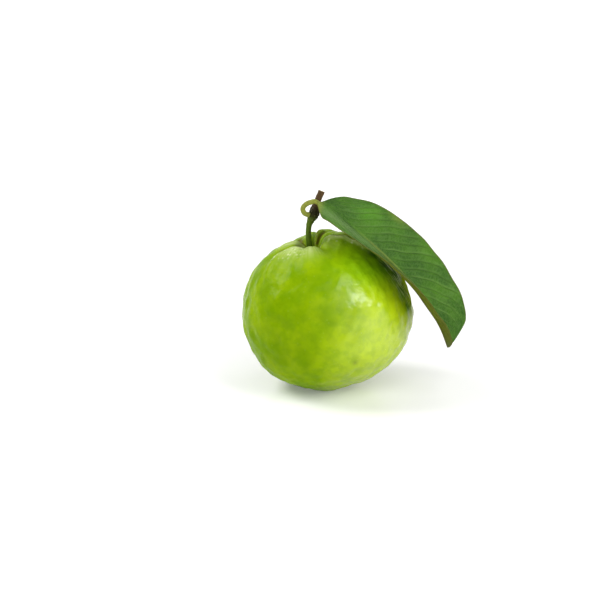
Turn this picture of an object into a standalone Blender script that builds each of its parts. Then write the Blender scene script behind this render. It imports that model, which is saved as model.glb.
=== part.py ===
"""A whole guava as picked, with its stalk and one leaf, standing on a small flat spot.

Metres, +Z up. The origin is the middle of the flat spot that the fruit rests on.
The fruit's own axis leans, so that its stalk is to the front left (-X, -Y) and its
blossom end is low at the back right. An empty at the fruit's centre carries every piece.
"""

import math

import bmesh
import bpy
import numpy as np
from mathutils import Vector

# Fruit: a slightly flattened ball with a narrow hollow at the stalk and a basin below.
FRUIT_WIDTH = 0.0895
FRUIT_HEIGHT = 0.0840
FRUIT_CENTRE = Vector((0.0034, 0.0033, 0.0405))
LEAN_X = -0.205
LEAN_Y = -0.145
HOLLOW_DEPTH = 0.0095
HOLLOW_RADIUS = 0.0056
BASIN_DEPTH = 0.0068
BASIN_RADIUS = 0.0082
FRUIT_MERIDIANS = 72
FRUIT_PARALLELS = 36

# Shoulders that swell round the stalk's hollow: azimuth in degrees, height and half-width.
SHOULDERS = (
    (-8.0, 0.0030, 0.50),
    (-100.0, 0.0009, 0.45),
    (-150.0, 0.0010, 0.45),
    (60.0, 0.0012, 0.50),
    (118.0, -0.0019, 0.50),
    (155.0, 0.0006, 0.45),
)
SHOULDER_POLAR = 0.36
# A broad swell low on one flank: azimuth and polar angle in degrees, height and half-width.
FLANKS = ((-14.0, 119.0, 0.0016, 0.36),)
# Furrows that run out of the hollow between them: azimuth in degrees, depth and half-width.
FURROWS = (
    (-57.0, 0.0024, 0.18),
    (20.0, 0.0011, 0.13),
    (50.0, 0.0026, 0.17),
    (82.0, 0.0013, 0.15),
    (120.0, 0.0016, 0.18),
    (186.0, 0.0022, 0.20),
    (246.0, 0.0018, 0.18),
)
FURROW_REACH = 0.50
FURROW_FADE = (0.02, 0.16)
# Grooves between the lobes of the blossom end, in the same terms.
BASE_GROOVES = (
    (-76.0, 0.0028, 0.34),
    (-14.0, 0.0020, 0.28),
    (46.0, 0.0016, 0.32),
    (100.0, 0.0018, 0.28),
    (156.0, 0.0020, 0.32),
)
BASE_REACH = 0.60
BASE_FADE = (0.05, 0.20)
# Soft lumps: sine waves in seeded directions, of lengths between these two.
LUMP_SEED = 75
LUMP_WAVES = 14
LUMP_HEIGHT = 0.00042
LUMP_LENGTHS = (0.020, 0.042)

# Fruit stalk, swollen node and twig: x, y and z from the fruit's centre, and the radius.
STEM = (
    (-0.0079, -0.0057, 0.0300, 0.00170),
    (-0.0089, -0.0066, 0.0362, 0.00150),
    (-0.0095, -0.0075, 0.0430, 0.00140),
    (-0.0089, -0.0078, 0.0488, 0.00155),
    (-0.0066, -0.0077, 0.0543, 0.00275),
    (-0.0049, -0.0073, 0.0600, 0.00180),
    (-0.0026, -0.0067, 0.0657, 0.00175),
)
STEM_RINGS = 30
STEM_SIDES = 12
SOCKET_DEPTH = 0.0030
TOUCH_GAP = 0.0003

# Leaf: its curled stalk, and then its midrib, from the fruit's centre.
LEAF_STALK = (
    (-0.0092, -0.0104, 0.0539),
    (-0.0115, -0.0114, 0.0551),
    (-0.0123, -0.0120, 0.0577),
    (-0.0106, -0.0126, 0.0600),
    (-0.0080, -0.0129, 0.0611),
)
MIDRIB = (
    (-0.0050, -0.0128, 0.0612),
    (0.0036, -0.0122, 0.0565),
    (0.0155, -0.0122, 0.0458),
    (0.0292, -0.0125, 0.0331),
    (0.0392, -0.0125, 0.0228),
    (0.0464, -0.0125, 0.0147),
    (0.0520, -0.0125, 0.0067),
    (0.0575, -0.0125, -0.0014),
    (0.0609, -0.0123, -0.0082),
    (0.0639, -0.0120, -0.0164),
)
LEAF_STALK_RADIUS = 0.0013
LEAF_THICKNESS = 0.0008
RIB_DEPTH = 0.0012
RIB_WIDTH = 0.0016
RIB_TIP_SHARE = 0.25
# At a share s of its length the blade's half-width goes as sin(pi * s ** SKEW) ** FULLNESS.
# The fullness grows by TIP_POINT from TIP_START on, which ends the blade in a point.
LEAF_HALF_WIDTH = 0.0260
LEAF_TIP_HALF_WIDTH = 0.0002
SKEW = 1.17
FULLNESS = 0.37
TIP_POINT = 0.23
TIP_START = 0.92
# Shares of the length over which the round stalk flattens into the blade, and over which
# the far half reaches its full width. The far half is later, to clear the twig.
FLATTEN = (-0.03, 0.05)
FAR_WIDEN = (-0.03, 0.12)
# The share of the blade's length, and the angles in degrees that its near half and its far
# half rise above the sideways direction there.
FOLDS = (
    (0.00, -46.0, 25.0),
    (0.07, -20.0, 26.0),
    (0.20, -6.0, 43.5),
    (0.32, 1.5, 48.0),
    (0.45, 6.0, 48.0),
    (0.70, 9.0, 48.5),
    (1.00, 12.0, 60.0),
)
# Side veins: how many a side, how far they run on towards the tip, and their groove's depth.
SIDE_VEINS = 12
VEIN_SLANT = 0.16
VEIN_DEPTH = 0.0005
VEIN_ENDS = (0.03, 0.20, 0.85, 1.00)
VEIN_SIDES = (0.02, 0.25, 0.80, 1.00)
STALK_STATIONS = 14
BLADE_STATIONS = 56
BLADE_COLUMNS = 12
COLUMN_CROWDING = 1.4

# Calyx: a dry crown of sepals on a short stub, which sits in the basin.
SEPALS = 5
SEPAL_LENGTH = 0.0028
SEPAL_NOTCH = 0.0010
SEPAL_FLARE = math.radians(35.0)
CROWN_DROP = 0.0014
CALYX_RADIUS = 0.0030
CALYX_THICKNESS = 0.0007
CALYX_ROOT = 0.0022
CALYX_MERIDIANS = 40

SHARP_ANGLE = math.radians(50.0)
CURVE_STEPS = 60
# Half the length over which a path's direction is taken.
DIRECTION_STEP = 0.0001


def clear_scene():
    for obj in list(bpy.data.objects):
        bpy.data.objects.remove(obj, do_unlink=True)


def make_material(name, colour, roughness):
    """A Principled finish of one colour; nothing on the plant is metallic."""
    material = bpy.data.materials.new(name)
    material.use_nodes = True
    shader = material.node_tree.nodes["Principled BSDF"]
    shader.inputs["Base Color"].default_value = (*colour, 1.0)
    shader.inputs["Roughness"].default_value = roughness
    shader.inputs["Metallic"].default_value = 0.0
    return material


def make_plant():
    """The empty at the fruit's centre that carries every piece."""
    plant = bpy.data.objects.new("plant", None)
    plant.location = FRUIT_CENTRE
    bpy.context.scene.collection.objects.link(plant)
    return plant


def add_object(name, mesh, material, plant):
    mesh.shade_smooth()
    mesh.set_sharp_from_angle(angle=SHARP_ANGLE)
    mesh.materials.append(material)
    obj = bpy.data.objects.new(name, mesh)
    obj.parent = plant
    bpy.context.scene.collection.objects.link(obj)
    return obj


def mesh_from(name, points, faces):
    """A mesh with all its faces turned outwards."""
    mesh = bpy.data.meshes.new(name)
    mesh.from_pydata([tuple(p) for p in points], [], [tuple(f) for f in faces])
    shell = bmesh.new()
    shell.from_mesh(mesh)
    bmesh.ops.recalc_face_normals(shell, faces=shell.faces)
    shell.to_mesh(mesh)
    shell.free()
    return mesh


def smoothstep(low, high, value):
    t = np.clip((value - low) / (high - low), 0.0, 1.0)
    return t * t * (3.0 - 2.0 * t)


def bell(distance, width):
    return np.exp(-((distance / width) ** 2))


def smooth_path(points):
    """Many points on the Catmull-Rom curve through the given points."""
    given = np.asarray(points, float)
    padded = np.vstack([2 * given[0] - given[1], given, 2 * given[-1] - given[-2]])
    t = np.linspace(0.0, 1.0, CURVE_STEPS, endpoint=False)[:, None]
    spans = []
    for a, b, c, d in zip(padded, padded[1:], padded[2:], padded[3:]):
        square = 2 * a - 5 * b + 4 * c - d
        cube = 3 * b - a - 3 * c + d
        spans.append(0.5 * (2 * b + (c - a) * t + square * t**2 + cube * t**3))
    return np.vstack([*spans, given[-1:]])


def path_lengths(path):
    steps = np.linalg.norm(np.diff(path[:, :3], axis=0), axis=1)
    return np.concatenate([[0.0], np.cumsum(steps)])


def at_lengths(path, wanted):
    """The path's rows at the wanted distances from its start."""
    along = path_lengths(path)
    return np.stack([np.interp(wanted, along, column) for column in path.T], axis=1)


def path_frames(path, wanted):
    """Centre, sideways (towards +Y) and upward directions at distances along a path."""
    ahead = at_lengths(path[:, :3], wanted + DIRECTION_STEP)
    forward = ahead - at_lengths(path[:, :3], wanted - DIRECTION_STEP)
    forward /= np.linalg.norm(forward, axis=1, keepdims=True)
    back = np.array([0.0, 1.0, 0.0])
    sideways = back - (forward @ back)[:, None] * forward
    sideways /= np.linalg.norm(sideways, axis=1, keepdims=True)
    return at_lengths(path[:, :3], wanted), sideways, np.cross(forward, sideways)


def place_rings(frames, side, lift):
    """Rings of points at side and lift from each centre, across the path."""
    centres, sideways, upward = frames
    return (
        centres[:, None]
        + side[:, :, None] * sideways[:, None]
        + lift[:, :, None] * upward[:, None]
    )


def lean():
    """The turn that lays the fruit's own upright axis along its lean."""
    upright = math.sqrt(1.0 - LEAN_X**2 - LEAN_Y**2)
    return Vector((0.0, 0.0, 1.0)).rotation_difference(Vector((LEAN_X, LEAN_Y, upright)))


def set_turn(obj, turn):
    obj.rotation_mode = "QUATERNION"
    obj.rotation_quaternion = turn


def angle_gap(azimuth, degrees):
    """The angle from the given one, between -pi and pi."""
    return (azimuth - math.radians(degrees) + math.pi) % (2.0 * math.pi) - math.pi


def lumps(points):
    """Soft lumps: a sum of sine waves, each in its own seeded direction."""
    draw = np.random.default_rng(LUMP_SEED)
    headings = draw.normal(size=(LUMP_WAVES, 3))
    headings /= np.linalg.norm(headings, axis=1, keepdims=True)
    lengths = draw.uniform(*LUMP_LENGTHS, LUMP_WAVES)
    phases = draw.uniform(0.0, 2.0 * math.pi, LUMP_WAVES)
    turns = 2.0 * math.pi * points @ (headings / lengths[:, None]).T + phases
    return LUMP_HEIGHT * np.sin(turns).sum(axis=1) / math.sqrt(LUMP_WAVES / 2.0)


def heading(polar, azimuth):
    """The direction at an angle from the stalk's pole and an angle round the axis."""
    level = np.sin(polar)
    return np.stack([level * np.cos(azimuth), level * np.sin(azimuth), np.cos(polar)], axis=-1)


def fruit_relief(body, polar, azimuth):
    """How far the skin stands proud: lumps, shoulders, a flank, furrows and the base's lobes."""
    ring = (polar / SHOULDER_POLAR) ** 2 * np.exp(1.0 - (polar / SHOULDER_POLAR) ** 2)
    near_stalk = bell(polar, FURROW_REACH) * smoothstep(*FURROW_FADE, polar)
    from_base = math.pi - polar
    near_base = bell(from_base, BASE_REACH) * smoothstep(*BASE_FADE, from_base)
    relief = lumps(body)
    for degrees, height, width in SHOULDERS:
        relief += height * ring * bell(angle_gap(azimuth, degrees), width)
    for degrees, polar_degrees, height, width in FLANKS:
        middle = heading(math.radians(polar_degrees), math.radians(degrees))
        gap = np.arccos(np.clip(heading(polar, azimuth) @ middle, -1.0, 1.0))
        relief += height * bell(gap, width)
    for degrees, depth, width in FURROWS:
        relief -= depth * near_stalk * bell(angle_gap(azimuth, degrees), width)
    for degrees, depth, width in BASE_GROOVES:
        relief -= depth * near_base * bell(angle_gap(azimuth, degrees), width)
    return relief


def fruit_surface(polar, azimuth):
    """Points of the skin in the fruit's own frame.

    polar is the angle from the stalk's pole, and azimuth turns from +X towards +Y.
    """
    half = np.array([FRUIT_WIDTH, FRUIT_WIDTH, FRUIT_HEIGHT]) / 2.0
    unit = heading(polar, azimuth)
    body = unit * half
    outward = unit / half
    outward /= np.linalg.norm(outward, axis=1, keepdims=True)
    skin = body + outward * fruit_relief(body, polar, azimuth)[:, None]

    from_axis = np.hypot(skin[:, 0], skin[:, 1])
    hollow = HOLLOW_DEPTH * bell(from_axis, HOLLOW_RADIUS)
    basin = BASIN_DEPTH * bell(from_axis, BASIN_RADIUS)
    skin[:, 2] += np.where(unit[:, 2] > 0.0, -hollow, basin)
    return skin


def basin_floor():
    """The height of the basin's floor on the fruit's own axis."""
    return float(fruit_surface(np.array([math.pi]), np.array([0.0]))[0, 2])


def make_fruit(material, plant):
    """The fruit's body, cut flat where it stands, with sockets for the stalk and the calyx."""
    rings = np.linspace(0.0, math.pi, FRUIT_PARALLELS + 1)[1:-1]
    turns = np.arange(FRUIT_MERIDIANS) * 2.0 * math.pi / FRUIT_MERIDIANS
    polar = np.concatenate([[0.0], np.repeat(rings, FRUIT_MERIDIANS), [math.pi]])
    azimuth = np.concatenate([[0.0], np.tile(turns, len(rings)), [0.0]])
    points = fruit_surface(polar, azimuth)

    last = len(points) - 1
    last_ring = last - FRUIT_MERIDIANS
    faces = []
    for m in range(FRUIT_MERIDIANS):
        n = (m + 1) % FRUIT_MERIDIANS
        faces.append((0, 1 + m, 1 + n))
        faces.append((last, last_ring + n, last_ring + m))
        for r in range(len(rings) - 1):
            upper = 1 + r * FRUIT_MERIDIANS
            lower = upper + FRUIT_MERIDIANS
            faces.append((upper + m, lower + m, lower + n, upper + n))
    mesh = mesh_from("fruit", points, faces)
    cut_flat(mesh)
    fruit = add_object("fruit", mesh, material, plant)
    set_turn(fruit, lean())
    root = Vector(STEM[0][:3])
    cut_socket(fruit, "stem_socket", root, Vector(STEM[1][:3]) - root, STEM[0][3], plant)
    down = lean() @ Vector((0.0, 0.0, -1.0))
    root = -down * (basin_floor() + CALYX_ROOT)
    cut_socket(fruit, "calyx_socket", root, down, CALYX_RADIUS, plant)


def cut_flat(mesh):
    """Cuts the fruit off at the floor, which leaves its small flat spot."""
    to_own_frame = lean().inverted()
    shell = bmesh.new()
    shell.from_mesh(mesh)
    cut = bmesh.ops.bisect_plane(
        shell,
        geom=[*shell.verts, *shell.edges, *shell.faces],
        plane_co=to_own_frame @ -FRUIT_CENTRE,
        plane_no=to_own_frame @ Vector((0.0, 0.0, -1.0)),
        clear_outer=True,
    )
    edges = [item for item in cut["geom_cut"] if isinstance(item, bmesh.types.BMEdge)]
    bmesh.ops.edgenet_fill(shell, edges=edges)
    bmesh.ops.triangulate(shell, faces=shell.faces)
    bmesh.ops.recalc_face_normals(shell, faces=shell.faces)
    shell.to_mesh(mesh)
    shell.free()


def cut_socket(body, name, root, out, radius, plant):
    """Cuts a round hole in the body from just below the root, along the direction out."""
    hole = bmesh.new()
    bmesh.ops.create_cone(
        hole,
        cap_ends=True,
        segments=2 * STEM_SIDES,
        radius1=radius + TOUCH_GAP,
        radius2=radius + TOUCH_GAP,
        depth=2.0 * SOCKET_DEPTH,
    )
    mesh = bpy.data.meshes.new(name)
    hole.to_mesh(mesh)
    hole.free()
    cutter = bpy.data.objects.new(name, mesh)
    bpy.context.scene.collection.objects.link(cutter)
    cutter.parent = plant
    cutter.location = root + out.normalized() * (SOCKET_DEPTH - TOUCH_GAP)
    set_turn(cutter, out.to_track_quat("Z", "Y"))
    cutter.hide_render = True
    cutter.display_type = "WIRE"
    socket = body.modifiers.new(name, "BOOLEAN")
    socket.operation = "DIFFERENCE"
    socket.solver = "EXACT"
    socket.object = cutter


def tube_faces(rings, count):
    """Faces of a tube of rings with count points each, with a flat cap at each end."""
    faces = []
    for r in range(rings - 1):
        low = r * count
        high = low + count
        for k in range(count):
            n = (k + 1) % count
            faces.append((low + k, low + n, high + n, high + k))
    last = (rings - 1) * count
    faces.append(tuple(range(count)))
    faces.append(tuple(last + k for k in reversed(range(count))))
    return faces


def make_stem(material, plant):
    """The fruit stalk, the node and the twig: round rings carried along one path."""
    path = smooth_path(STEM)
    wanted = np.linspace(0.0, path_lengths(path)[-1], STEM_RINGS)
    radii = at_lengths(path, wanted)[:, 3:]
    turns = np.arange(STEM_SIDES)[None] * 2.0 * math.pi / STEM_SIDES
    rings = place_rings(path_frames(path, wanted), radii * np.cos(turns), radii * np.sin(turns))
    mesh = mesh_from("stem", rings.reshape(-1, 3), tube_faces(STEM_RINGS, STEM_SIDES))
    add_object("stem", mesh, material, plant)


def blade_half_width(share):
    """Half-width of the blade at a share of its length: a rounded base and a short point."""
    inside = np.clip(share, 0.0, 1.0)
    fullness = FULLNESS + TIP_POINT * smoothstep(TIP_START, 1.0, inside)
    width = LEAF_HALF_WIDTH * np.abs(np.sin(math.pi * inside**SKEW)) ** fullness
    return np.maximum(width, LEAF_TIP_HALF_WIDTH)


def vein_relief(share, across):
    """Grooves along the side veins, which slant towards the tip, with soft swells between."""
    place = SIDE_VEINS * (share - VEIN_SLANT * across)
    lengthwise = smoothstep(*VEIN_ENDS[:2], share) * smoothstep(*VEIN_ENDS[:1:-1], share)
    crosswise = smoothstep(*VEIN_SIDES[:2], across) * smoothstep(*VEIN_SIDES[:1:-1], across)
    return -0.5 * VEIN_DEPTH * lengthwise * crosswise * np.cos(2.0 * math.pi * place)


def leaf_rings(path, wanted, blade_start):
    """Closed outlines across the leaf: round on its stalk, and thin and folded on the blade.

    Each outline has its upper face from the near margin to the far one, and then its
    lower face back, so that both faces have their points one above the other.
    """
    frames = path_frames(path, wanted)
    share = ((wanted - blade_start) / (wanted[-1] - blade_start))[:, None]
    flat = smoothstep(*FLATTEN, share)

    turns = (np.arange(BLADE_COLUMNS + 1)[None] + 0.5) * math.pi / (BLADE_COLUMNS + 1)
    round_side = -LEAF_STALK_RADIUS * np.cos(turns)
    round_lift = LEAF_STALK_RADIUS * np.sin(turns)

    across = np.linspace(-1.0, 1.0, BLADE_COLUMNS + 1)[None]
    across = np.sign(across) * np.abs(across) ** COLUMN_CROWDING
    folds = smooth_path(FOLDS)
    near = np.radians(np.interp(share, folds[:, 0], folds[:, 1]))
    far = np.radians(np.interp(share, folds[:, 0], folds[:, 2]))
    fold = np.where(across < 0.0, near, far)
    widen = np.where(across > 0.0, smoothstep(*FAR_WIDEN, share), 1.0)
    out = blade_half_width(share) * across * widen
    lift = np.abs(out) * np.sin(fold) + vein_relief(share, np.abs(across))
    rib_share = 1.0 - (1.0 - RIB_TIP_SHARE) * np.clip(share, 0.0, 1.0)
    rib = RIB_DEPTH * rib_share * bell(out, RIB_WIDTH * rib_share)
    half_thick = LEAF_THICKNESS / 2.0

    side = (1.0 - flat) * round_side + flat * out * np.cos(fold)
    above = (1.0 - flat) * round_lift + flat * (lift + half_thick)
    below = flat * (lift - half_thick - rib) - (1.0 - flat) * round_lift
    upper = place_rings(frames, side, above)
    lower = place_rings(frames, side, below)
    return np.concatenate([upper, lower[:, ::-1]], axis=1)


def leaf_faces(rings, columns):
    """Triangles of the leaf, split alike on its upper and lower faces, with closed ends."""
    count = 2 * (columns + 1)
    faces = []
    for r in range(rings - 1):
        low = r * count
        high = low + count
        for k in range(count):
            n = (k + 1) % count
            if k <= columns:
                faces.append((low + k, low + n, high + n))
                faces.append((low + k, high + n, high + k))
            else:
                faces.append((low + k, low + n, high + k))
                faces.append((low + n, high + n, high + k))
    last = (rings - 1) * count
    for k in range(columns):
        other = count - 1 - k
        faces.append((k, other, k + 1))
        faces.append((k + 1, other, other - 1))
        faces.append((last + k, last + k + 1, last + other))
        faces.append((last + k + 1, last + other - 1, last + other))
    return faces


def make_leaf(material, plant):
    """The leaf in one piece: its curled stalk runs on as the midrib of the folded blade."""
    path = smooth_path(LEAF_STALK + MIDRIB)
    lengths = path_lengths(path)
    blade_start = lengths[len(LEAF_STALK) * CURVE_STEPS]
    stalk = np.linspace(0.0, blade_start, STALK_STATIONS, endpoint=False)
    blade = np.linspace(blade_start, lengths[-1], BLADE_STATIONS)
    wanted = np.concatenate([stalk, blade])
    rings = leaf_rings(path, wanted, blade_start)
    mesh = mesh_from("leaf", rings.reshape(-1, 3), leaf_faces(len(wanted), BLADE_COLUMNS))
    add_object("leaf", mesh, material, plant)


def make_calyx(material, plant):
    """The crown: a stub that roots in the fruit, and sepals that flare from its rim."""
    turns = np.arange(CALYX_MERIDIANS) * 2.0 * math.pi / CALYX_MERIDIANS
    length = SEPAL_NOTCH + (SEPAL_LENGTH - SEPAL_NOTCH) * np.abs(np.cos(SEPALS * turns / 2.0))
    slope_out = math.sin(SEPAL_FLARE)
    slope_down = math.cos(SEPAL_FLARE)
    # Each row is a ring: its distance from the axis, and its depth below the basin's floor.
    root = np.full_like(turns, CALYX_RADIUS)
    profile = [(root, np.full_like(turns, -CALYX_ROOT))]
    for share in (0.0, 0.5, 1.0):
        out = CALYX_RADIUS + share * length * slope_out
        profile.append((out, CROWN_DROP + share * length * slope_down))
    for out, down in profile[:0:-1]:
        profile.append((out - CALYX_THICKNESS * slope_down, down + CALYX_THICKNESS * slope_out))
    floor = basin_floor()
    rings = [
        np.stack([out * np.cos(turns), out * np.sin(turns), floor - down], axis=1)
        for out, down in profile
    ]
    mesh = mesh_from("calyx", np.concatenate(rings), tube_faces(len(rings), CALYX_MERIDIANS))
    set_turn(add_object("calyx", mesh, material, plant), lean())


def main():
    clear_scene()
    plant = make_plant()
    make_fruit(make_material("guava_skin", (0.28, 0.50, 0.03), 0.35), plant)
    make_stem(make_material("green_stalk", (0.08, 0.11, 0.02), 0.60), plant)
    make_leaf(make_material("leaf_green", (0.06, 0.19, 0.03), 0.40), plant)
    make_calyx(make_material("dry_calyx", (0.16, 0.08, 0.03), 0.85), plant)


main()
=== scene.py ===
"""A whole guava with its stalk, one leaf and its dry calyx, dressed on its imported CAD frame.

Metres, +Z up, with the origin in the middle of the flat spot that the fruit rests on. The
shapes follow the CAD's formulas on finer grids, with some furrows shallower and the leaf's
side veins closer and deeper, and add the low relief of skin, veins and bark.
"""

import logging
import math
from dataclasses import dataclass, field
from enum import Enum
from functools import cached_property

import bpy
import numpy as np
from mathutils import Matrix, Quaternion, Vector


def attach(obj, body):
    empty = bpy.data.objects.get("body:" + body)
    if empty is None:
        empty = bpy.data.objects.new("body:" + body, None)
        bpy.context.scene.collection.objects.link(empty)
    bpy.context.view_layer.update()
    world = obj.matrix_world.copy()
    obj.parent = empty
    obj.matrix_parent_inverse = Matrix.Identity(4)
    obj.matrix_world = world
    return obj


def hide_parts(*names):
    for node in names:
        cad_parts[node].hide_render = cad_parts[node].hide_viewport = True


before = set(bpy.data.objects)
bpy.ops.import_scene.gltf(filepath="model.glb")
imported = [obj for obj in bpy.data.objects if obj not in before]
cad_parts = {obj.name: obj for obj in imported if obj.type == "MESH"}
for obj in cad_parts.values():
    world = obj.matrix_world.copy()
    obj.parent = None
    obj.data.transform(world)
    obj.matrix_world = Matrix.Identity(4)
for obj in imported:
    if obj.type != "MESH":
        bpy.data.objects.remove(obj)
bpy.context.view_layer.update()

Array = np.ndarray
Colour = tuple[float, float, float]
Row = tuple[float, ...]
Socket = bpy.types.NodeSocket

LOG = logging.getLogger("guava")
ROOT_BODY = "root"
FRUIT_CENTRE = np.array([0.0034, 0.0033, 0.0405])
FULL_TURN = 2.0 * math.pi
MM = 0.001


def paint(red: int, green: int, blue: int) -> Colour:
    """A colour as the eye names it, as the linear light that a shader takes.

    Each channel's share c of 255 follows the sRGB curve: ((c + 0.055) / 1.055) to the power
    2.4, or c / 12.92 where it is very dark.

    Args:
        red: Red from 0 to 255.
        green: Green from 0 to 255.
        blue: Blue from 0 to 255.

    Returns:
        The three channels in linear light.
    """
    shares = (red / 255.0, green / 255.0, blue / 255.0)
    return tuple(c / 12.92 if c <= 0.04045 else ((c + 0.055) / 1.055) ** 2.4 for c in shares)


def smoothstep(low: float, high: float, value: Array) -> Array:
    """A soft step: 3 t squared less 2 t cubed, with t the value's share of the way from low to high.

    Args:
        low: Where the step starts, and the result is 0.
        high: Where the step ends, and the result is 1.
        value: The values to step.

    Returns:
        The step's height at each value.
    """
    t = np.clip((value - low) / (high - low), 0.0, 1.0)
    return t * t * (3.0 - 2.0 * t)


def bell(distance: Array, width: float | Array) -> Array:
    """A bell curve: e to the power of minus the square of distance over width.

    Args:
        distance: Distances from the bell's middle.
        width: Where the bell has fallen to 0.37.

    Returns:
        The bell's height at each distance.
    """
    return np.exp(-((distance / width) ** 2))


def angle_gap(azimuth: Array, degrees: float) -> Array:
    """The angle from a given heading, brought between minus pi and pi.

    Args:
        azimuth: Angles in radians.
        degrees: The heading in degrees.

    Returns:
        Each angle less the heading, in radians.
    """
    return (azimuth - math.radians(degrees) + math.pi) % FULL_TURN - math.pi


@dataclass(frozen=True)
class SineLumps:
    """Lumps as a sum of sine waves, each in its own seeded direction.

    Attributes:
        seed: Seed of the random draw.
        waves: How many waves are added.
        height: Typical height of the lumps, in metres.
        lengths: Shortest and longest wave, in metres.
    """

    seed: int
    waves: int
    height: float
    lengths: tuple[float, float]

    def at(self, points: Array) -> Array:
        """Height of the lumps at points in space.

        The height times the sum of sin(2 pi (point . heading) / length + phase), over the
        square root of half the number of waves.

        Args:
            points: Points, one a row.

        Returns:
            One height for each point.
        """
        draw = np.random.default_rng(self.seed)
        headings = draw.normal(size=(self.waves, 3))
        headings /= np.linalg.norm(headings, axis=1, keepdims=True)
        lengths = draw.uniform(*self.lengths, self.waves)
        phases = draw.uniform(0.0, FULL_TURN, self.waves)
        turns = FULL_TURN * points @ (headings / lengths[:, None]).T + phases
        return self.height * np.sin(turns).sum(axis=1) / math.sqrt(self.waves / 2.0)


@dataclass(frozen=True)
class SmoothPath:
    """A Catmull-Rom curve through given rows of x, y, z and any further columns.

    Attributes:
        rows: The rows that the curve passes through.
        steps: Points of the curve from one row to the next.
    """

    rows: tuple[Row, ...]
    steps: int = 60

    @cached_property
    def curve(self) -> Array:
        """Many rows on the curve, from the first given row to the last.

        From b to c, with a before and d after them, a row is half of 2b + (c - a) t +
        (2a - 5b + 4c - d) t squared + (3b - a - 3c + d) t cubed, and t runs from 0 to 1.

        Returns:
            The rows, with every given column.
        """
        given = np.asarray(self.rows, float)
        padded = np.vstack([2 * given[0] - given[1], given, 2 * given[-1] - given[-2]])
        a, b, c, d = (padded[k : len(padded) - 3 + k, None] for k in range(4))
        t = np.linspace(0.0, 1.0, self.steps, endpoint=False)[None, :, None]
        square = 2 * a - 5 * b + 4 * c - d
        cube = 3 * b - a - 3 * c + d
        spans = 0.5 * (2 * b + (c - a) * t + square * t**2 + cube * t**3)
        return np.vstack([spans.reshape(-1, given.shape[1]), given[-1:]])

    @cached_property
    def lengths(self) -> Array:
        """Distance along the curve from its start to each of its rows."""
        steps = np.linalg.norm(np.diff(self.curve[:, :3], axis=0), axis=1)
        return np.concatenate([[0.0], np.cumsum(steps)])

    def at(self, wanted: Array) -> Array:
        """The curve's rows at distances from its start.

        Args:
            wanted: Distances along the curve, in metres.

        Returns:
            One row of all the curve's columns for each distance.
        """
        return np.stack([np.interp(wanted, self.lengths, column) for column in self.curve.T], 1)

    def frames(self, wanted: Array) -> tuple[Array, Array, Array]:
        """Centres and cross directions along the curve.

        Sideways is +Y less its share along the curve, made a unit long, and upward is forward
        cross sideways.

        Args:
            wanted: Distances along the curve, in metres.

        Returns:
            The centre, the sideways and the upward direction at each distance.
        """
        step = 0.1 * MM
        forward = self.at(wanted + step)[:, :3] - self.at(wanted - step)[:, :3]
        forward /= np.linalg.norm(forward, axis=1, keepdims=True)
        back = np.array([0.0, 1.0, 0.0])
        sideways = back - (forward @ back)[:, None] * forward
        sideways /= np.linalg.norm(sideways, axis=1, keepdims=True)
        return self.at(wanted)[:, :3], sideways, np.cross(forward, sideways)


def place_rings(frames: tuple[Array, Array, Array], side: Array, lift: Array) -> Array:
    """Rings of points across a path: centre + side times sideways + lift times upward.

    Args:
        frames: Centres, sideways and upward directions, as SmoothPath.frames gives them.
        side: Distance sideways of each point of each ring.
        lift: Distance upward of each point of each ring.

    Returns:
        The points, by ring, place in the ring and coordinate.
    """
    centres, sideways, upward = frames
    across = side[:, :, None] * sideways[:, None]
    return centres[:, None] + across + lift[:, :, None] * upward[:, None]


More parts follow.
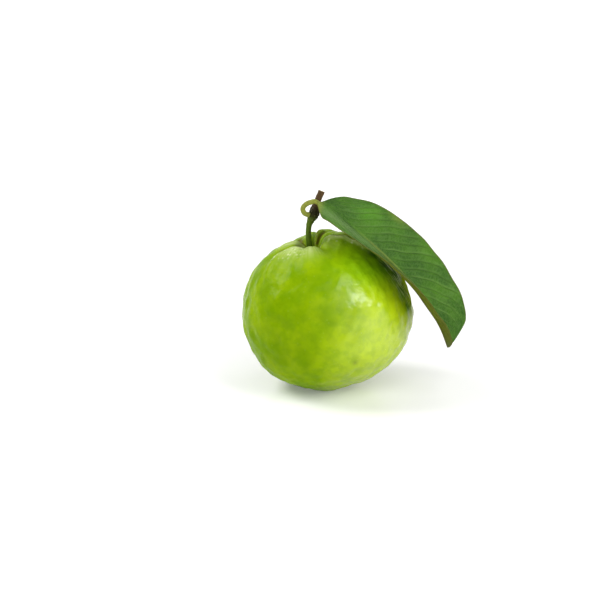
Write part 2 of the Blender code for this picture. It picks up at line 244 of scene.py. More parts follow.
@dataclass
class RingSurface:
    """A closed surface over rings of points, closed by a fan of triangles at each end.

    Attributes:
        name: The piece's name.
        rings: Points by ring, place in the ring and coordinate.
        first: The point that closes the first ring.
        last: The point that closes the last ring.
    """

    name: str
    rings: Array
    first: Array
    last: Array

    @property
    def points(self) -> Array:
        """All points, the rings' in order and then the two end points."""
        return np.vstack([self.rings.reshape(-1, 3), self.first, self.last])

    def faces(self) -> tuple[Array, Array]:
        """The four-sided faces between rings and the triangles round the end points.

        The solid's volume is a sixth of the sum of a . (b x c) over its triangles. Where that
        is negative the faces look inwards, and all of them are turned round.

        Returns:
            Corner numbers of the four-sided faces and of the triangles.
        """
        count, size = self.rings.shape[:2]
        low = np.arange(count - 1)[:, None] * size
        here = np.arange(size)[None]
        after = (here + 1) % size
        corners = [low + here, low + after, low + size + after, low + size + here]
        quads = np.stack(corners, axis=-1).reshape(-1, 4)
        first = np.full(size, count * size)
        tail = (count - 1) * size
        start = np.stack([first, after[0], here[0]], axis=-1)
        end = np.stack([first + 1, tail + here[0], tail + after[0]], axis=-1)
        fans = np.concatenate([start, end])
        triangles = np.concatenate([quads[:, [0, 1, 2]], quads[:, [0, 2, 3]], fans])
        a, b, c = (self.points[triangles[:, k]] for k in range(3))
        if (a * np.cross(b, c)).sum() < 0.0:
            return quads[:, ::-1], fans[:, ::-1]
        return quads, fans

    def build(self, marks: dict[str, Array], chart: Array | None = None) -> bpy.types.Object:
        """Makes the piece, with its marks as point attributes and its chart as a UV map.

        Args:
            marks: Attribute name to one value, or one row of three, for each point of the rings.
            chart: A place on the UV map for each point of the rings, if the piece has one.

        Returns:
            The new object, at the origin, linked to the scene.
        """
        mesh = bpy.data.meshes.new(self.name)
        quads, fans = self.faces()
        mesh.from_pydata(self.points, [], quads.tolist() + fans.tolist())
        for name, values in marks.items():
            flat = values.reshape(-1, 3) if values.ndim == 3 else values.reshape(-1, 1)
            size = self.rings.shape[1]
            full = np.vstack([flat, flat[:size].mean(0), flat[-size:].mean(0)])
            kind, key = ("FLOAT_VECTOR", "vector") if full.shape[1] == 3 else ("FLOAT", "value")
            mesh.attributes.new(name, kind, "POINT").data.foreach_set(key, full.ravel())
        if chart is not None:
            self.lay_chart(mesh, chart)
        mesh.shade_smooth()
        piece = bpy.data.objects.new(self.name, mesh)
        bpy.context.scene.collection.objects.link(piece)
        return piece

    def lay_chart(self, mesh: bpy.types.Mesh, chart: Array) -> None:
        """Writes the chart as the mesh's UV map, corner by corner.

        Args:
            mesh: The mesh that the map is for.
            chart: A place on the map for each point of the rings.
        """
        size = self.rings.shape[1]
        flat = chart.reshape(-1, 2)
        full = np.vstack([flat, flat[:size].mean(0), flat[-size:].mean(0)])
        corners = np.empty(len(mesh.loops), dtype=np.int32)
        mesh.loops.foreach_get("vertex_index", corners)
        mesh.uv_layers.new(name="chart").data.foreach_set("uv", full[corners].ravel())


class Wave(Enum):
    """How a texture's grains are laid out."""

    CLOUDS = "ShaderNodeTexNoise"
    CELLS = "ShaderNodeTexVoronoi"


class Sheet:
    """The node sheet of one material, with short ways to lay textures, mixes and bumps on it."""

    def __init__(self, name: str) -> None:
        """Starts a sheet with its Principled shader.

        Args:
            name: The material's name.
        """
        self.material = bpy.data.materials.new(name)
        self.material.use_nodes = True
        self.nodes = self.material.node_tree.nodes
        self.links = self.material.node_tree.links
        self.shader = self.nodes["Principled BSDF"]

    def put(self, target: Socket, value: "Socket | float | Row") -> None:
        """Links a socket to the target, or sets the target's own value.

        Args:
            target: The input to feed.
            value: Another node's output, or a plain value.
        """
        if isinstance(value, bpy.types.NodeSocket):
            self.links.new(value, target)
        else:
            target.default_value = value

    def set(self, **values: "Socket | float | Row") -> None:
        """Feeds the shader's inputs, named with underscores for spaces.

        Args:
            values: Input name to a socket or a plain value.
        """
        for name, value in values.items():
            self.put(self.shader.inputs[name.replace("_", " ")], value)

    def place(self) -> Socket:
        """The point's place in metres, in the part's own frame."""
        return self.nodes.new("ShaderNodeTexCoord").outputs["Object"]

    def mark(self, name: str, vector: bool = False) -> Socket:
        """One of the piece's marks.

        Args:
            name: The attribute's name.
            vector: Whether it holds three numbers.

        Returns:
            The attribute's output.
        """
        node = self.nodes.new("ShaderNodeAttribute")
        node.attribute_name = name
        return node.outputs["Vector" if vector else "Fac"]

    def grain(
        self,
        where: Socket,
        size: float,
        kind: Wave = Wave.CLOUDS,
        detail: float = 3.0,
        stretch: Row = (1.0, 1.0, 1.0),
    ) -> Socket:
        """A texture of clouds or of distances to scattered cell middles.

        Args:
            where: The coordinates that it is laid on.
            size: Size of one grain, in the coordinates' own unit.
            kind: Clouds or cells.
            detail: How many finer layers the clouds have.
            stretch: How much denser the grain is along each axis.

        Returns:
            The texture's value from 0 to about 1.
        """
        mapping = self.nodes.new("ShaderNodeMapping")
        self.put(mapping.inputs["Vector"], where)
        mapping.inputs["Scale"].default_value = stretch
        texture = self.nodes.new(kind.value)
        self.put(texture.inputs["Vector"], mapping.outputs["Vector"])
        texture.inputs["Scale"].default_value = 1.0 / size
        if kind is Wave.CELLS:
            return texture.outputs["Distance"]
        texture.inputs["Detail"].default_value = detail
        return texture.outputs["Fac"]

    def ramp(self, value: Socket, low: float, high: float, top: float = 1.0) -> Socket:
        """A soft step of a value, from 0 at low to top at high; low may be the greater.

        Args:
            value: The value to step.
            low: Where the result is 0.
            high: Where the result is top.
            top: The result's greatest value.

        Returns:
            The stepped value.
        """
        node = self.nodes.new("ShaderNodeMapRange")
        node.interpolation_type = "SMOOTHSTEP"
        settings = {"From Min": low, "From Max": high, "To Min": 0.0, "To Max": top}
        for name, number in settings.items():
            node.inputs[name].default_value = number
        self.put(node.inputs["Value"], value)
        return node.outputs["Result"]

    def sum(self, first: "Socket | float", second: "Socket | float", kind: str = "ADD") -> Socket:
        """Arithmetic on two values.

        Args:
            first: The first value.
            second: The second value.
            kind: Blender's name for the operation.

        Returns:
            The result.
        """
        node = self.nodes.new("ShaderNodeMath")
        node.operation = kind
        self.put(node.inputs[0], first)
        self.put(node.inputs[1], second)
        return node.outputs["Value"]

    def times(self, first: "Socket | float", second: "Socket | float") -> Socket:
        """The product of two values."""
        return self.sum(first, second, "MULTIPLY")

    def blend(self, share: Socket, under: "Socket | Colour", over: "Socket | Colour") -> Socket:
        """A colour laid over another.

        Args:
            share: How much of the over colour shows, from 0 to 1.
            under: The colour beneath.
            over: The colour on top.

        Returns:
            The mixed colour.
        """
        node = self.nodes.new("ShaderNodeMix")
        node.data_type = "RGBA"
        self.put(node.inputs[0], share)
        for socket, colour in ((node.inputs[6], under), (node.inputs[7], over)):
            self.put(socket, colour if isinstance(colour, bpy.types.NodeSocket) else (*colour, 1.0))
        return node.outputs[2]

    def bump(self, height: Socket, depth: float, before: Socket | None = None) -> Socket:
        """Fine relief in the shading.

        Args:
            height: The relief from 0 to 1.
            depth: What a height of 1 measures, in metres.
            before: The normal of a bump that this one is laid on.

        Returns:
            The bumped normal.
        """
        node = self.nodes.new("ShaderNodeBump")
        node.inputs["Distance"].default_value = depth
        self.put(node.inputs["Height"], height)
        if before is not None:
            self.put(node.inputs["Normal"], before)
        return node.outputs["Normal"]


@dataclass(frozen=True)
class SkinFinish:
    """Waxy guava skin: mottled yellow-green, paler and drier on the crests round the stalk.

    Attributes:
        body: The main green.
        ripe: The yellower green of the broad patches.
        painted_light: Painted light: a brighter, fresher green laid on the skin under the leaf.
        deep: The darker green between the fine mottles.
        crest: The pale crests of the shoulders: dry skin, with painted highlight on the lit side.
        furrow: The darker olive laid in the furrows, full where they are deepest.
        hollow: The brown skin at the bottom of the stalk's hollow.
        dry: The pale dots on the lip of the hollow.
        shade: Painted shadow: the dark green laid on the skin just under the leaf's edge.
        scar: The dark healed marks.
    """

    body: Colour = paint(111, 144, 2)
    ripe: Colour = paint(165, 187, 12)
    painted_light: Colour = paint(134, 190, 10)
    deep: Colour = paint(88, 130, 2)
    crest: Colour = paint(192, 207, 134)
    furrow: Colour = paint(104, 118, 18)
    hollow: Colour = paint(84, 70, 24)
    dry: Colour = paint(218, 226, 180)
    shade: Colour = paint(38, 98, 4)
    scar: Colour = paint(92, 106, 14)

    def make(self) -> bpy.types.Material:
        """Lays the skin's patches, mottles, dots, crests and marks, and its pores.

        Returns:
            The material.
        """
        sheet = Sheet("waxy_guava_skin")
        place = sheet.place()
        lie = sheet.mark("lie", vector=True)
        patches = sheet.ramp(sheet.grain(place, 12.0 * MM), 0.36, 0.66)
        mottle = sheet.ramp(sheet.grain(place, 4.0 * MM, detail=4.0), 0.42, 0.66)
        cells = sheet.grain(place, 3.4 * MM, Wave.CELLS)
        dots = sheet.ramp(cells, 0.16, 0.08)
        streaks = sheet.ramp(sheet.grain(lie, 0.05, detail=4.0), 0.40, 0.62)
        ripe = sheet.sum(sheet.mark("blush"), sheet.times(patches, 0.30))
        colour = sheet.blend(ripe, self.body, self.ripe)
        # Painted light: a brighter green patch under the leaf, where its shadow would darken the skin.
        colour = sheet.blend(sheet.mark("painted_light"), colour, self.painted_light)
        colour = sheet.blend(sheet.times(mottle, 0.26), colour, self.deep)
        colour = sheet.blend(sheet.times(dots, 0.05), colour, self.crest)
        # The crests: pale dry skin, with painted highlight towards the lit side.
        crest = sheet.times(sheet.mark("crest"), sheet.sum(sheet.times(streaks, 0.45), 0.55))
        colour = sheet.blend(crest, colour, self.crest)
        colour = sheet.blend(sheet.mark("furrow"), colour, self.furrow)
        colour = sheet.blend(sheet.mark("hollow"), colour, self.hollow)
        grit = sheet.ramp(sheet.grain(place, 2.2 * MM, Wave.CELLS), 0.46, 0.16, 0.7)
        stipple = sheet.times(grit, sheet.mark("dots"))
        colour = sheet.blend(stipple, colour, self.dry)
        # Painted shadow: dark green where the leaf's shadow falls on the skin.
        colour = sheet.blend(sheet.mark("shade"), colour, self.shade)
        threads = sheet.ramp(sheet.grain(lie, 0.022, detail=2.0), 0.50, 0.62)
        scuff = sheet.times(threads, sheet.times(sheet.mark("scuff"), 0.8))
        colour = sheet.blend(scuff, colour, self.crest)
        colour = sheet.blend(sheet.mark("scar"), colour, self.scar)

        pores = sheet.grain(place, 0.8 * MM, detail=4.0)
        pebbles = sheet.grain(place, 2.4 * MM, detail=2.0)
        normal = sheet.bump(pores, 0.04 * MM)
        normal = sheet.bump(pebbles, 0.28 * MM, normal)
        normal = sheet.bump(sheet.times(streaks, sheet.mark("crest")), 0.25 * MM, normal)
        normal = sheet.bump(stipple, 0.20 * MM, normal)
        normal = sheet.bump(scuff, 0.30 * MM, normal)
        rough = sheet.sum(sheet.times(pores, 0.18), 0.15)
        rough = sheet.sum(rough, sheet.times(sheet.mark("crest"), 0.25))
        sheet.set(
            Base_Color=colour,
            Roughness=rough,
            Normal=normal,
            Specular_IOR_Level=sheet.mark("gloss"),
            Subsurface_Weight=0.12,
            Subsurface_Radius=(2.0, 2.4, 0.6),
            Subsurface_Scale=1.0 * MM,
        )
        return sheet.material


@dataclass(frozen=True)
class LeafFinish:
    """Leathery leaf: deep green between lighter veins above, paler and duller beneath.

    Attributes:
        blade: The green between the veins.
        fresh: The lighter green patches.
        lush: The brightest patch, on the far half.
        vein: The veins' colour above.
        deep: Painted shade: the darker green beside each vein, for the shadow of its relief.
        pale: Painted sheen: paler green on the near half near its base, where light grazes it.
        olive: The near half towards the tip.
        line: The midrib's pale line above: its own colour, partly a painted highlight on its edge.
        under: The underside.
        under_vein: The raised veins beneath.
        rib: The midrib beneath.
        stalk: The leaf stalk.
        margin: The dry edge.
    """

    blade: Colour = paint(36, 74, 8)
    fresh: Colour = paint(60, 102, 12)
    lush: Colour = paint(72, 128, 14)
    vein: Colour = paint(96, 130, 60)
    deep: Colour = paint(26, 56, 8)
    pale: Colour = paint(122, 146, 96)
    olive: Colour = paint(64, 86, 14)
    line: Colour = paint(128, 138, 60)
    under: Colour = paint(84, 94, 18)
    under_vein: Colour = paint(112, 118, 36)
    rib: Colour = paint(94, 92, 16)
    stalk: Colour = paint(140, 146, 60)
    margin: Colour = paint(84, 84, 22)

    def make(self) -> bpy.types.Material:
        """Lays both faces of the leaf, its veins and the net of veinlets between them.

        Returns:
            The material.
        """
        sheet = Sheet("leathery_leaf")
        chart = self.chart(sheet)
        under = sheet.mark("under")
        patches = sheet.ramp(sheet.grain(sheet.place(), 14.0 * MM), 0.36, 0.68)
        flecks = sheet.ramp(sheet.grain(chart, 0.016, detail=4.0), 0.42, 0.70)
        net = sheet.ramp(sheet.grain(chart, 0.018, Wave.CELLS), 0.30, 0.62)
        top = sheet.blend(patches, self.blade, self.fresh)
        top = sheet.blend(sheet.times(flecks, 0.40), top, self.fresh)
        top = sheet.blend(sheet.mark("lush"), top, self.lush)
        top = sheet.blend(sheet.times(net, 0.22), top, self.vein)
        # Painted shade: a dark line beside each vein, for the shadow of the quilted relief.
        top = sheet.blend(sheet.times(sheet.mark("painted_vein_shade"), 0.65), top, self.deep)
        # Painted sheen: the near half is paler where its face catches the light at a grazing angle.
        painted_sheen = sheet.times(sheet.mark("pale"), sheet.sum(sheet.times(flecks, 0.5), 0.6))
        top = sheet.blend(painted_sheen, top, self.pale)
        top = sheet.blend(sheet.times(sheet.mark("vein"), 0.65), top, self.vein)
        top = sheet.blend(sheet.mark("olive"), top, self.olive)
        # The midrib's pale line: partly its own colour, partly a painted highlight on its edge.
        top = sheet.blend(sheet.mark("line"), top, self.line)
        below = sheet.blend(sheet.times(net, 0.30), self.under, self.under_vein)
        below = sheet.blend(sheet.mark("vein"), below, self.under_vein)
        below = sheet.blend(sheet.mark("rib"), below, self.rib)
        colour = sheet.blend(under, top, below)
        colour = sheet.blend(sheet.mark("margin"), colour, self.margin)
        colour = sheet.blend(sheet.mark("stalk"), colour, self.stalk)

        fine = sheet.grain(chart, 0.006, detail=3.0)
        normal = sheet.bump(net, 0.10 * MM)
        normal = sheet.bump(fine, 0.05 * MM, normal)
        rough = sheet.sum(sheet.times(fine, 0.20), sheet.sum(sheet.times(under, 0.2), 0.36))
        sheet.set(
            Base_Color=colour,
            Roughness=rough,
            Normal=normal,
            Subsurface_Weight=0.10,
            Subsurface_Radius=(0.8, 1.2, 0.3),
            Subsurface_Scale=1.0 * MM,
            Specular_IOR_Level=0.12,
        )
        return sheet.material

    @staticmethod
    def chart(sheet: Sheet) -> Socket:
        """The leaf's own map, along the blade and across it.

        Args:
            sheet: The sheet that reads the map.

        Returns:
            The map's output.
        """
        node = sheet.nodes.new("ShaderNodeUVMap")
        node.uv_map = "chart"
        return node.outputs["UV"]


@dataclass(frozen=True)
class BarkFinish:
    """The stalk's finish: green and ribbed below, dark at the node and brown bark above.

    Attributes:
        green: The fruit stalk.
        dark: The node's near black, partly painted shade under the leaf stalk; also dark streaks.
        brown: The twig's bark.
        speck: The pale corky specks on both.
        wood: The cut end.
        pith: The middle of the cut end.
    """

    green: Colour = paint(75, 98, 12)
    dark: Colour = paint(30, 29, 4)
    brown: Colour = paint(76, 56, 30)
    speck: Colour = paint(150, 140, 96)
    wood: Colour = paint(176, 156, 112)
    pith: Colour = paint(120, 88, 58)

    def make(self) -> bpy.types.Material:
        """Lays the stalk's colours along its length, with streaks, specks and the cut end.

        Returns:
            The material.
        """
        sheet = Sheet("stalk_bark")
        bark = sheet.mark("bark", vector=True)
        streaks = sheet.grain(bark, 0.9 * MM, detail=4.0, stretch=(1.0, 1.0, 0.16))
        specks = sheet.ramp(sheet.grain(bark, 1.3 * MM, Wave.CELLS, stretch=(1, 1, 0.6)), 0.20, 0.10)
        colour = sheet.blend(sheet.mark("twig"), self.green, self.brown)
        # The node's near black: partly its dark bark, partly painted shade under the leaf stalk.
        colour = sheet.blend(sheet.mark("node"), colour, self.dark)
        colour = sheet.blend(sheet.ramp(streaks, 0.50, 0.72, 0.55), colour, self.dark)
        colour = sheet.blend(sheet.times(specks, 0.45), colour, self.speck)
        colour = sheet.blend(sheet.mark("cut"), colour, self.wood)
        colour = sheet.blend(sheet.mark("pith"), colour, self.pith)
        normal = sheet.bump(streaks, 0.20 * MM)
        normal = sheet.bump(specks, 0.10 * MM, normal)
        rough = sheet.sum(sheet.times(streaks, 0.3), 0.48)
        sheet.set(Base_Color=colour, Roughness=rough, Normal=normal, Specular_IOR_Level=0.15)
        return sheet.material


@dataclass(frozen=True)
class CalyxFinish:
    """Dry papery sepals, greyer at their tips and green-brown at their root.

    Attributes:
        paper: The sepals.
        tip: Their dry tips.
        root: Where they grow from the fruit.
    """

    paper: Colour = paint(122, 92, 52)
    tip: Colour = paint(74, 54, 34)
    root: Colour = paint(124, 128, 52)

    def make(self) -> bpy.types.Material:
        """Lays the sepals' streaks from root to tip.

        Returns:
            The material.
        """
        sheet = Sheet("dry_sepals")
        grain = sheet.grain(sheet.place(), 1.4 * MM, detail=5.0)
        colour = sheet.blend(sheet.mark("outer"), self.root, self.paper)
        colour = sheet.blend(sheet.times(grain, sheet.mark("outer")), colour, self.tip)
        normal = sheet.bump(grain, 0.15 * MM)
        sheet.set(Base_Color=colour, Roughness=0.85, Normal=normal)
        return sheet.material


def skin_heading(polar: Array, azimuth: Array) -> Array:
    """The unit direction at an angle from the stalk's pole and an angle round the axis.

    Args:
        polar: Angles from the pole, in radians.
        azimuth: Angles round the axis, in radians.

    Returns:
        One direction for each pair of angles.
    """
    level = np.sin(polar)
    return np.stack([level * np.cos(azimuth), level * np.sin(azimuth), np.cos(polar)], -1)


@dataclass(frozen=True)
class Crease:
    """A low ridge or a groove along a path on the skin round the stalk's hollow.

    Attributes:
        height: Its height in millimetres; a groove's is negative.
        width: Where its bell has fallen to 0.37, in millimetres.
        pale: How much of the dry pale skin shows on it.
        brown: How much of the hollow's brown skin shows on it.
        path: The azimuth in degrees and the angle from the pole of the places it passes.
        dots: How thickly pale dots lie round it.
        dot_reach: How far from it they lie, in millimetres.
    """

    height: float
    width: float
    pale: float
    brown: float
    path: tuple[Row, ...]
    dots: float = 0.0
    dot_reach: float = 3.0

    def away(self, headings: Array, radius: float) -> tuple[Array, Array]:
        """Distance of each point from the path, and how full the crease is beside it.

        The distance is the radius times the chord between the two directions, and the crease
        thins out over the first and the last fifth of its path.

        Args:
            headings: Unit directions from the fruit's centre, one a row.
            radius: The fruit's radius there, in metres.

        Returns:
            The distance in millimetres and the fullness from 0 to 1.
        """
        azimuth, polar = np.array(self.path).T
        rows = SmoothPath(tuple(map(tuple, skin_heading(polar, np.radians(azimuth)))), 14).curve
        rows /= np.linalg.norm(rows, axis=1, keepdims=True)
        nearness = headings @ rows.T
        nearest = nearness.argmax(axis=1)
        chord = np.sqrt(np.maximum(2.0 - 2.0 * nearness.max(axis=1), 0.0))
        share = np.linspace(0.0, 1.0, len(rows))
        full = smoothstep(0.0, 0.2, share) * smoothstep(1.0, 0.8, share)
        return radius / MM * chord, full[nearest]


@dataclass
class Fruit:
    """The fruit: a flattened ball with lobes and lumps, a stalk's hollow and a basin below.

    Attributes:
        width: Across the fruit's own axis.
        height: Along it.
        lean: The axis's share along +X and +Y.
        hollow: Depth and radius of the stalk's hollow.
        basin: Depth and radius of the basin below.
        shoulders: Swells round the hollow: heading in degrees, height and half-width.
        shoulder_polar: The shoulders' angle from the stalk's pole.
        flanks: Swells lower down: heading and angle from the pole in degrees, and then the same.
        furrows: Furrows out of the hollow: heading in degrees, depth and half-width.
        creases: The small ridges and grooves round the hollow.
        furrow_reach: How far from the pole the furrows run, as an angle.
        furrow_fade: The angles over which they start.
        base_grooves: Grooves between the lobes of the blossom end, in the furrows' terms.
        base_reach: How far from that end they run, as an angle.
        base_fade: The angles over which they start.
        lumps: The broad lumps, which the CAD has too.
        bumps: The finer bumps that break the gloss up.
        folds: How many small folds gather into the hollow.
        fold_height: Height of those folds.
        fold_polar: The folds' angle from the pole, and how far they reach either side.
        fold_start: The angles over which they start.
        fold_sways: Waves that space them unevenly: height, number round the axis and phase.
        fold_twist: How far they turn round the axis on the way down.
        fold_power: Power on their sine; a lower one makes them sharper.
        crest_ring: The pale crests' angle from the pole, and how far they reach either side.
        crest_furrow: Depth of a furrow at which no pale crest is left.
        crest_heading: Heading of the palest crests in degrees, where painted highlight is added.
        crest_span: Cosines of the angle from that heading over which they grow paler.
        crest_shares: How pale the crests are all round, and what they gain there.
        furrow_tint: How strongly the furrows' darker olive shows.
        furrow_depth: Depth at which a furrow has its full colour.
        furrow_polar: How far from the pole that colour reaches, as an angle.
        brown_span: Angles from the pole over which the hollow's brown skin starts.
        basin_span: Angles from the blossom end over which the basin's brown skin starts.
        basin_brown: How strongly that one shows.
        lie_rate: How fast the streaks' own map runs from pole to pole.
        scars: The healed marks: place and half-width, in millimetres from the fruit's centre.
        scar_tint: How strongly they show.
        scuff_strip: Heading in degrees and half-width of the strip of pale threads.
        scuff_span: Angles from the pole where the strip starts, is full, wanes and ends.
        shades: Where the painted shadow of the leaf lies on the skin, in the scars' terms.
        polish_place: Middle of the polished patch, in millimetres from the fruit's centre.
        polish_reach: Its half-width.
        polish_gloss: How glossy its middle is.
        sunny_side: The direction in which the skin is ripest.
        blush_span: Shares of the radius along it over which the skin ripens.
        painted_light_place: Middle of the painted light, in millimetres from the fruit's centre.
        painted_light_reach: Its half-width.
        tint: How strongly the ripe skin, the painted light and the painted shadow show at most.
        gloss_range: The least gloss, and what the glossiest skin gains.
        gloss_power: Power on the share of that gain.
        side_span: Shares of the radius along +X over which the gloss ends.
        side_rise: Heights over the centre, as shares of the radius, over which that sets in.
        under_gloss: The share of the gloss that is left underneath, and what the top gains.
        under_span: Heights, as shares of the radius, over which it gains that.
        crowding: How much denser the rings are at the pole and at the blossom end, and how far.
        meridians: Points round each ring.
        parallels: Rings from pole to pole.
    """

    width: float = 0.0895
    height: float = 0.0840
    lean: tuple[float, float] = (-0.205, -0.145)
    hollow: tuple[float, float] = (0.0095, 0.0056)
    basin: tuple[float, float] = (0.0068, 0.0082)
    shoulders: tuple[Row, ...] = (
        (-8.0, 0.0030, 0.50),
        (-100.0, 0.0009, 0.45),
        (-150.0, 0.0010, 0.45),
        (60.0, 0.0012, 0.50),
        (118.0, -0.0019, 0.50),
        (155.0, 0.0006, 0.45),
    )
    shoulder_polar: float = 0.36
    flanks: tuple[Row, ...] = ((-14.0, 119.0, 0.0016, 0.36),)
    furrows: tuple[Row, ...] = (
        (-57.0, 0.0018, 0.18),
        (20.0, 0.0011, 0.13),
        (50.0, 0.0026, 0.17),
        (82.0, 0.0013, 0.15),
        (120.0, 0.0016, 0.18),
        (186.0, 0.0022, 0.20),
        (246.0, 0.0009, 0.18),
    )
    creases: tuple[Crease, ...] = (
        # The ridge along the leaf's edge: pale dry flecks, made paler still as painted light where the
        # leaf's shadow dims it.
        Crease(1.2, 1.3, 1.0, 0.0, (
            (31, 0.12), (-12, 0.17), (-22, 0.25), (-20, 0.33), (-15, 0.40), (-16, 0.48),
            (-15, 0.57), (-14, 0.64), (-11, 0.74), (-13, 0.83), (-12, 0.94), (-12, 1.08),
        ), dots=1.0, dot_reach=2.0),
        Crease(-0.7, 0.7, 0.0, 0.20, (
            (31, 0.16), (2, 0.21), (-5, 0.29), (-4, 0.37), (-6, 0.46), (-6, 0.56),
        )),
        Crease(0.4, 0.9, 0.50, 0.0, ((57, 0.39), (27, 0.34), (-2, 0.37))),
        Crease(-0.4, 0.7, 0.0, 0.90, ((93, 0.11), (63, 0.12), (57, 0.18), (55, 0.24), (57, 0.38))),
        Crease(-0.3, 0.45, 0.0, 0.80, ((72, 0.12), (66, 0.20), (64, 0.32))),
        Crease(-2.4, 1.1, 0.20, 0.0, ((80, 0.08), (79, 0.20), (79, 0.40), (79, 0.60))),
        Crease(-0.3, 1.6, 0.0, 0.80, ((142, 0.10), (128, 0.20), (116, 0.32), (112, 0.46))),
        # A groove behind the front lip, with brown laid along it as painted shade where the lip hides
        # the lobe behind.
        Crease(-0.6, 0.8, 0.0, 0.60, (
            (176, 0.45), (-176, 0.34), (-168, 0.25), (172, 0.16), (134, 0.12),
        )),
        Crease(0.5, 1.6, 0.60, 0.0, (
            (-172, 0.54), (-167, 0.46), (-150, 0.38), (-134, 0.32), (-117, 0.29), (-94, 0.32),
        ), dots=1.0, dot_reach=4.0),
        Crease(0.5, 0.9, 0.75, 0.0, (
            (-160, 0.40), (-143, 0.30), (-133, 0.26), (-120, 0.20), (-90, 0.17), (-60, 0.16),
            (-25, 0.16),
        ), dots=0.6, dot_reach=2.0),
        Crease(-0.3, 1.2, 0.0, 0.0, ((-38, 0.26), (-38, 0.33), (-39, 0.42))),
    )
    furrow_reach: float = 0.50
    furrow_fade: tuple[float, float] = (0.02, 0.16)
    base_grooves: tuple[Row, ...] = (
        (-76.0, 0.0028, 0.34),
        (-14.0, 0.0020, 0.28),
        (46.0, 0.0016, 0.32),
        (100.0, 0.0018, 0.28),
        (156.0, 0.0020, 0.32),
    )
    base_reach: float = 0.60
    base_fade: tuple[float, float] = (0.05, 0.20)
    lumps: SineLumps = SineLumps(75, 14, 0.42 * MM, (0.020, 0.042))
    bumps: SineLumps = SineLumps(11, 48, 0.16 * MM, (0.0045, 0.0105))
    folds: int = 13
    fold_height: float = 0.12 * MM
    fold_polar: tuple[float, float] = (0.20, 0.15)
    fold_start: tuple[float, float] = (0.03, 0.12)
    fold_sways: tuple[Row, ...] = ((0.16, 3, 1.0), (0.07, 7, 2.0))
    fold_twist: float = 2.5
    fold_power: float = 0.6
    crest_ring: tuple[float, float] = (0.24, 0.15)
    crest_furrow: float = 0.9 * MM
    crest_heading: float = 200.0
    crest_span: tuple[float, float] = (-0.2, 0.7)
    crest_shares: tuple[float, float] = (0.15, 0.80)
    furrow_tint: float = 0.35
    furrow_depth: float = 2.2 * MM
    furrow_polar: float = 0.30
    brown_span: tuple[float, float] = (0.12, 0.04)
    basin_span: tuple[float, float] = (0.13, 0.06)
    basin_brown: float = 0.7
    lie_rate: float = 0.10
    scars: tuple[Row, ...] = (
        (13.8, -38.0, -16.1, 1.5),
        (-30.0, 28.0, -4.0, 1.1),
        (22.0, 34.0, 14.0, 0.9),
    )
    scar_tint: float = 0.8
    scuff_strip: tuple[float, float] = (-15.0, 0.13)
    scuff_span: tuple[float, float, float, float] = (0.80, 1.00, 1.60, 2.00)
    shades: tuple[Row, ...] = (
        (24.4, -14.1, 33.8, 4.0),
        (30.0, -16.0, 28.0, 6.5),
        (35.0, -13.5, 22.5, 7.0),
        (39.0, -15.5, 14.0, 7.0),
        (41.5, -15.5, 7.0, 5.0),
    )
    polish_place: tuple[float, float, float] = (15.0, -36.0, 17.0)
    polish_reach: float = 13.5 * MM
    polish_gloss: float = 0.75
    sunny_side: tuple[float, float, float] = (0.95, -0.25, -0.18)
    blush_span: tuple[float, float] = (0.10, 0.82)
    painted_light_place: tuple[float, float, float] = (22.0, -21.0, 31.0)
    painted_light_reach: float = 15.0 * MM
    tint: float = 0.85
    gloss_range: tuple[float, float] = (0.03, 0.95)
    gloss_power: float = 1.3
    side_span: tuple[float, float] = (0.56, 0.88)
    side_rise: tuple[float, float] = (-0.15, 0.15)
    under_gloss: tuple[float, float] = (0.4, 0.6)
    under_span: tuple[float, float] = (-0.6, 0.1)
    crowding: tuple[Row, Row] = ((3.4, 0.52), (0.8, 0.35))
    meridians: int = 400
    parallels: int = 228

    @cached_property
    def turn(self) -> Quaternion:
        """The turn that lays the fruit's upright axis along its lean."""
        upright = math.sqrt(1.0 - self.lean[0] ** 2 - self.lean[1] ** 2)
        return Vector((0.0, 0.0, 1.0)).rotation_difference(Vector((*self.lean, upright)))

    def rings_of_polar(self) -> Array:
        """Angles from the stalk's pole of the rings, closer together near both poles.

        The rings share out evenly the area under 1 plus each gain times the bell of the angle
        from its own end.

        Returns:
            One angle a ring.
        """
        (gain, reach), (base_gain, base_reach) = self.crowding
        polar = np.linspace(0.0, math.pi, 4000)
        density = 1.0 + gain * bell(polar, reach) + base_gain * bell(math.pi - polar, base_reach)
        share = np.cumsum(density)
        share = (share - share[0]) / (share[-1] - share[0])
        return np.interp(np.linspace(0.0, 1.0, self.parallels + 2)[1:-1], share, polar)

    def bells(self, azimuth: Array, rows: tuple[Row, ...]) -> Array:
        """The sum of each row's height times the bell of its half-width round its heading."""
        return sum(height * bell(angle_gap(azimuth, at), width) for at, height, width in rows)

    def small_folds(self, polar: Array, azimuth: Array) -> Array:
        """Sharp little folds that gather into the hollow.

        The fold's depth is 1 less a power of the sine's size, times the bell of the angle from
        the pole, and the sine is that of the azimuth wound unevenly and twisted on the way down.

        Args:
            polar: Angles from the stalk's pole.
            azimuth: Angles round the axis.

        Returns:
            The relief in metres, 0 or less.
        """
        wound = azimuth
        for height, number, phase in self.fold_sways:
            wound = wound + height * np.sin(number * azimuth + phase)
        middle, reach = self.fold_polar
        sine = np.abs(np.sin(self.folds * wound + self.fold_twist * polar))
        ridge = 1.0 - sine**self.fold_power
        start = smoothstep(*self.fold_start, polar)
        return -self.fold_height * ridge * bell(polar - middle, reach) * start

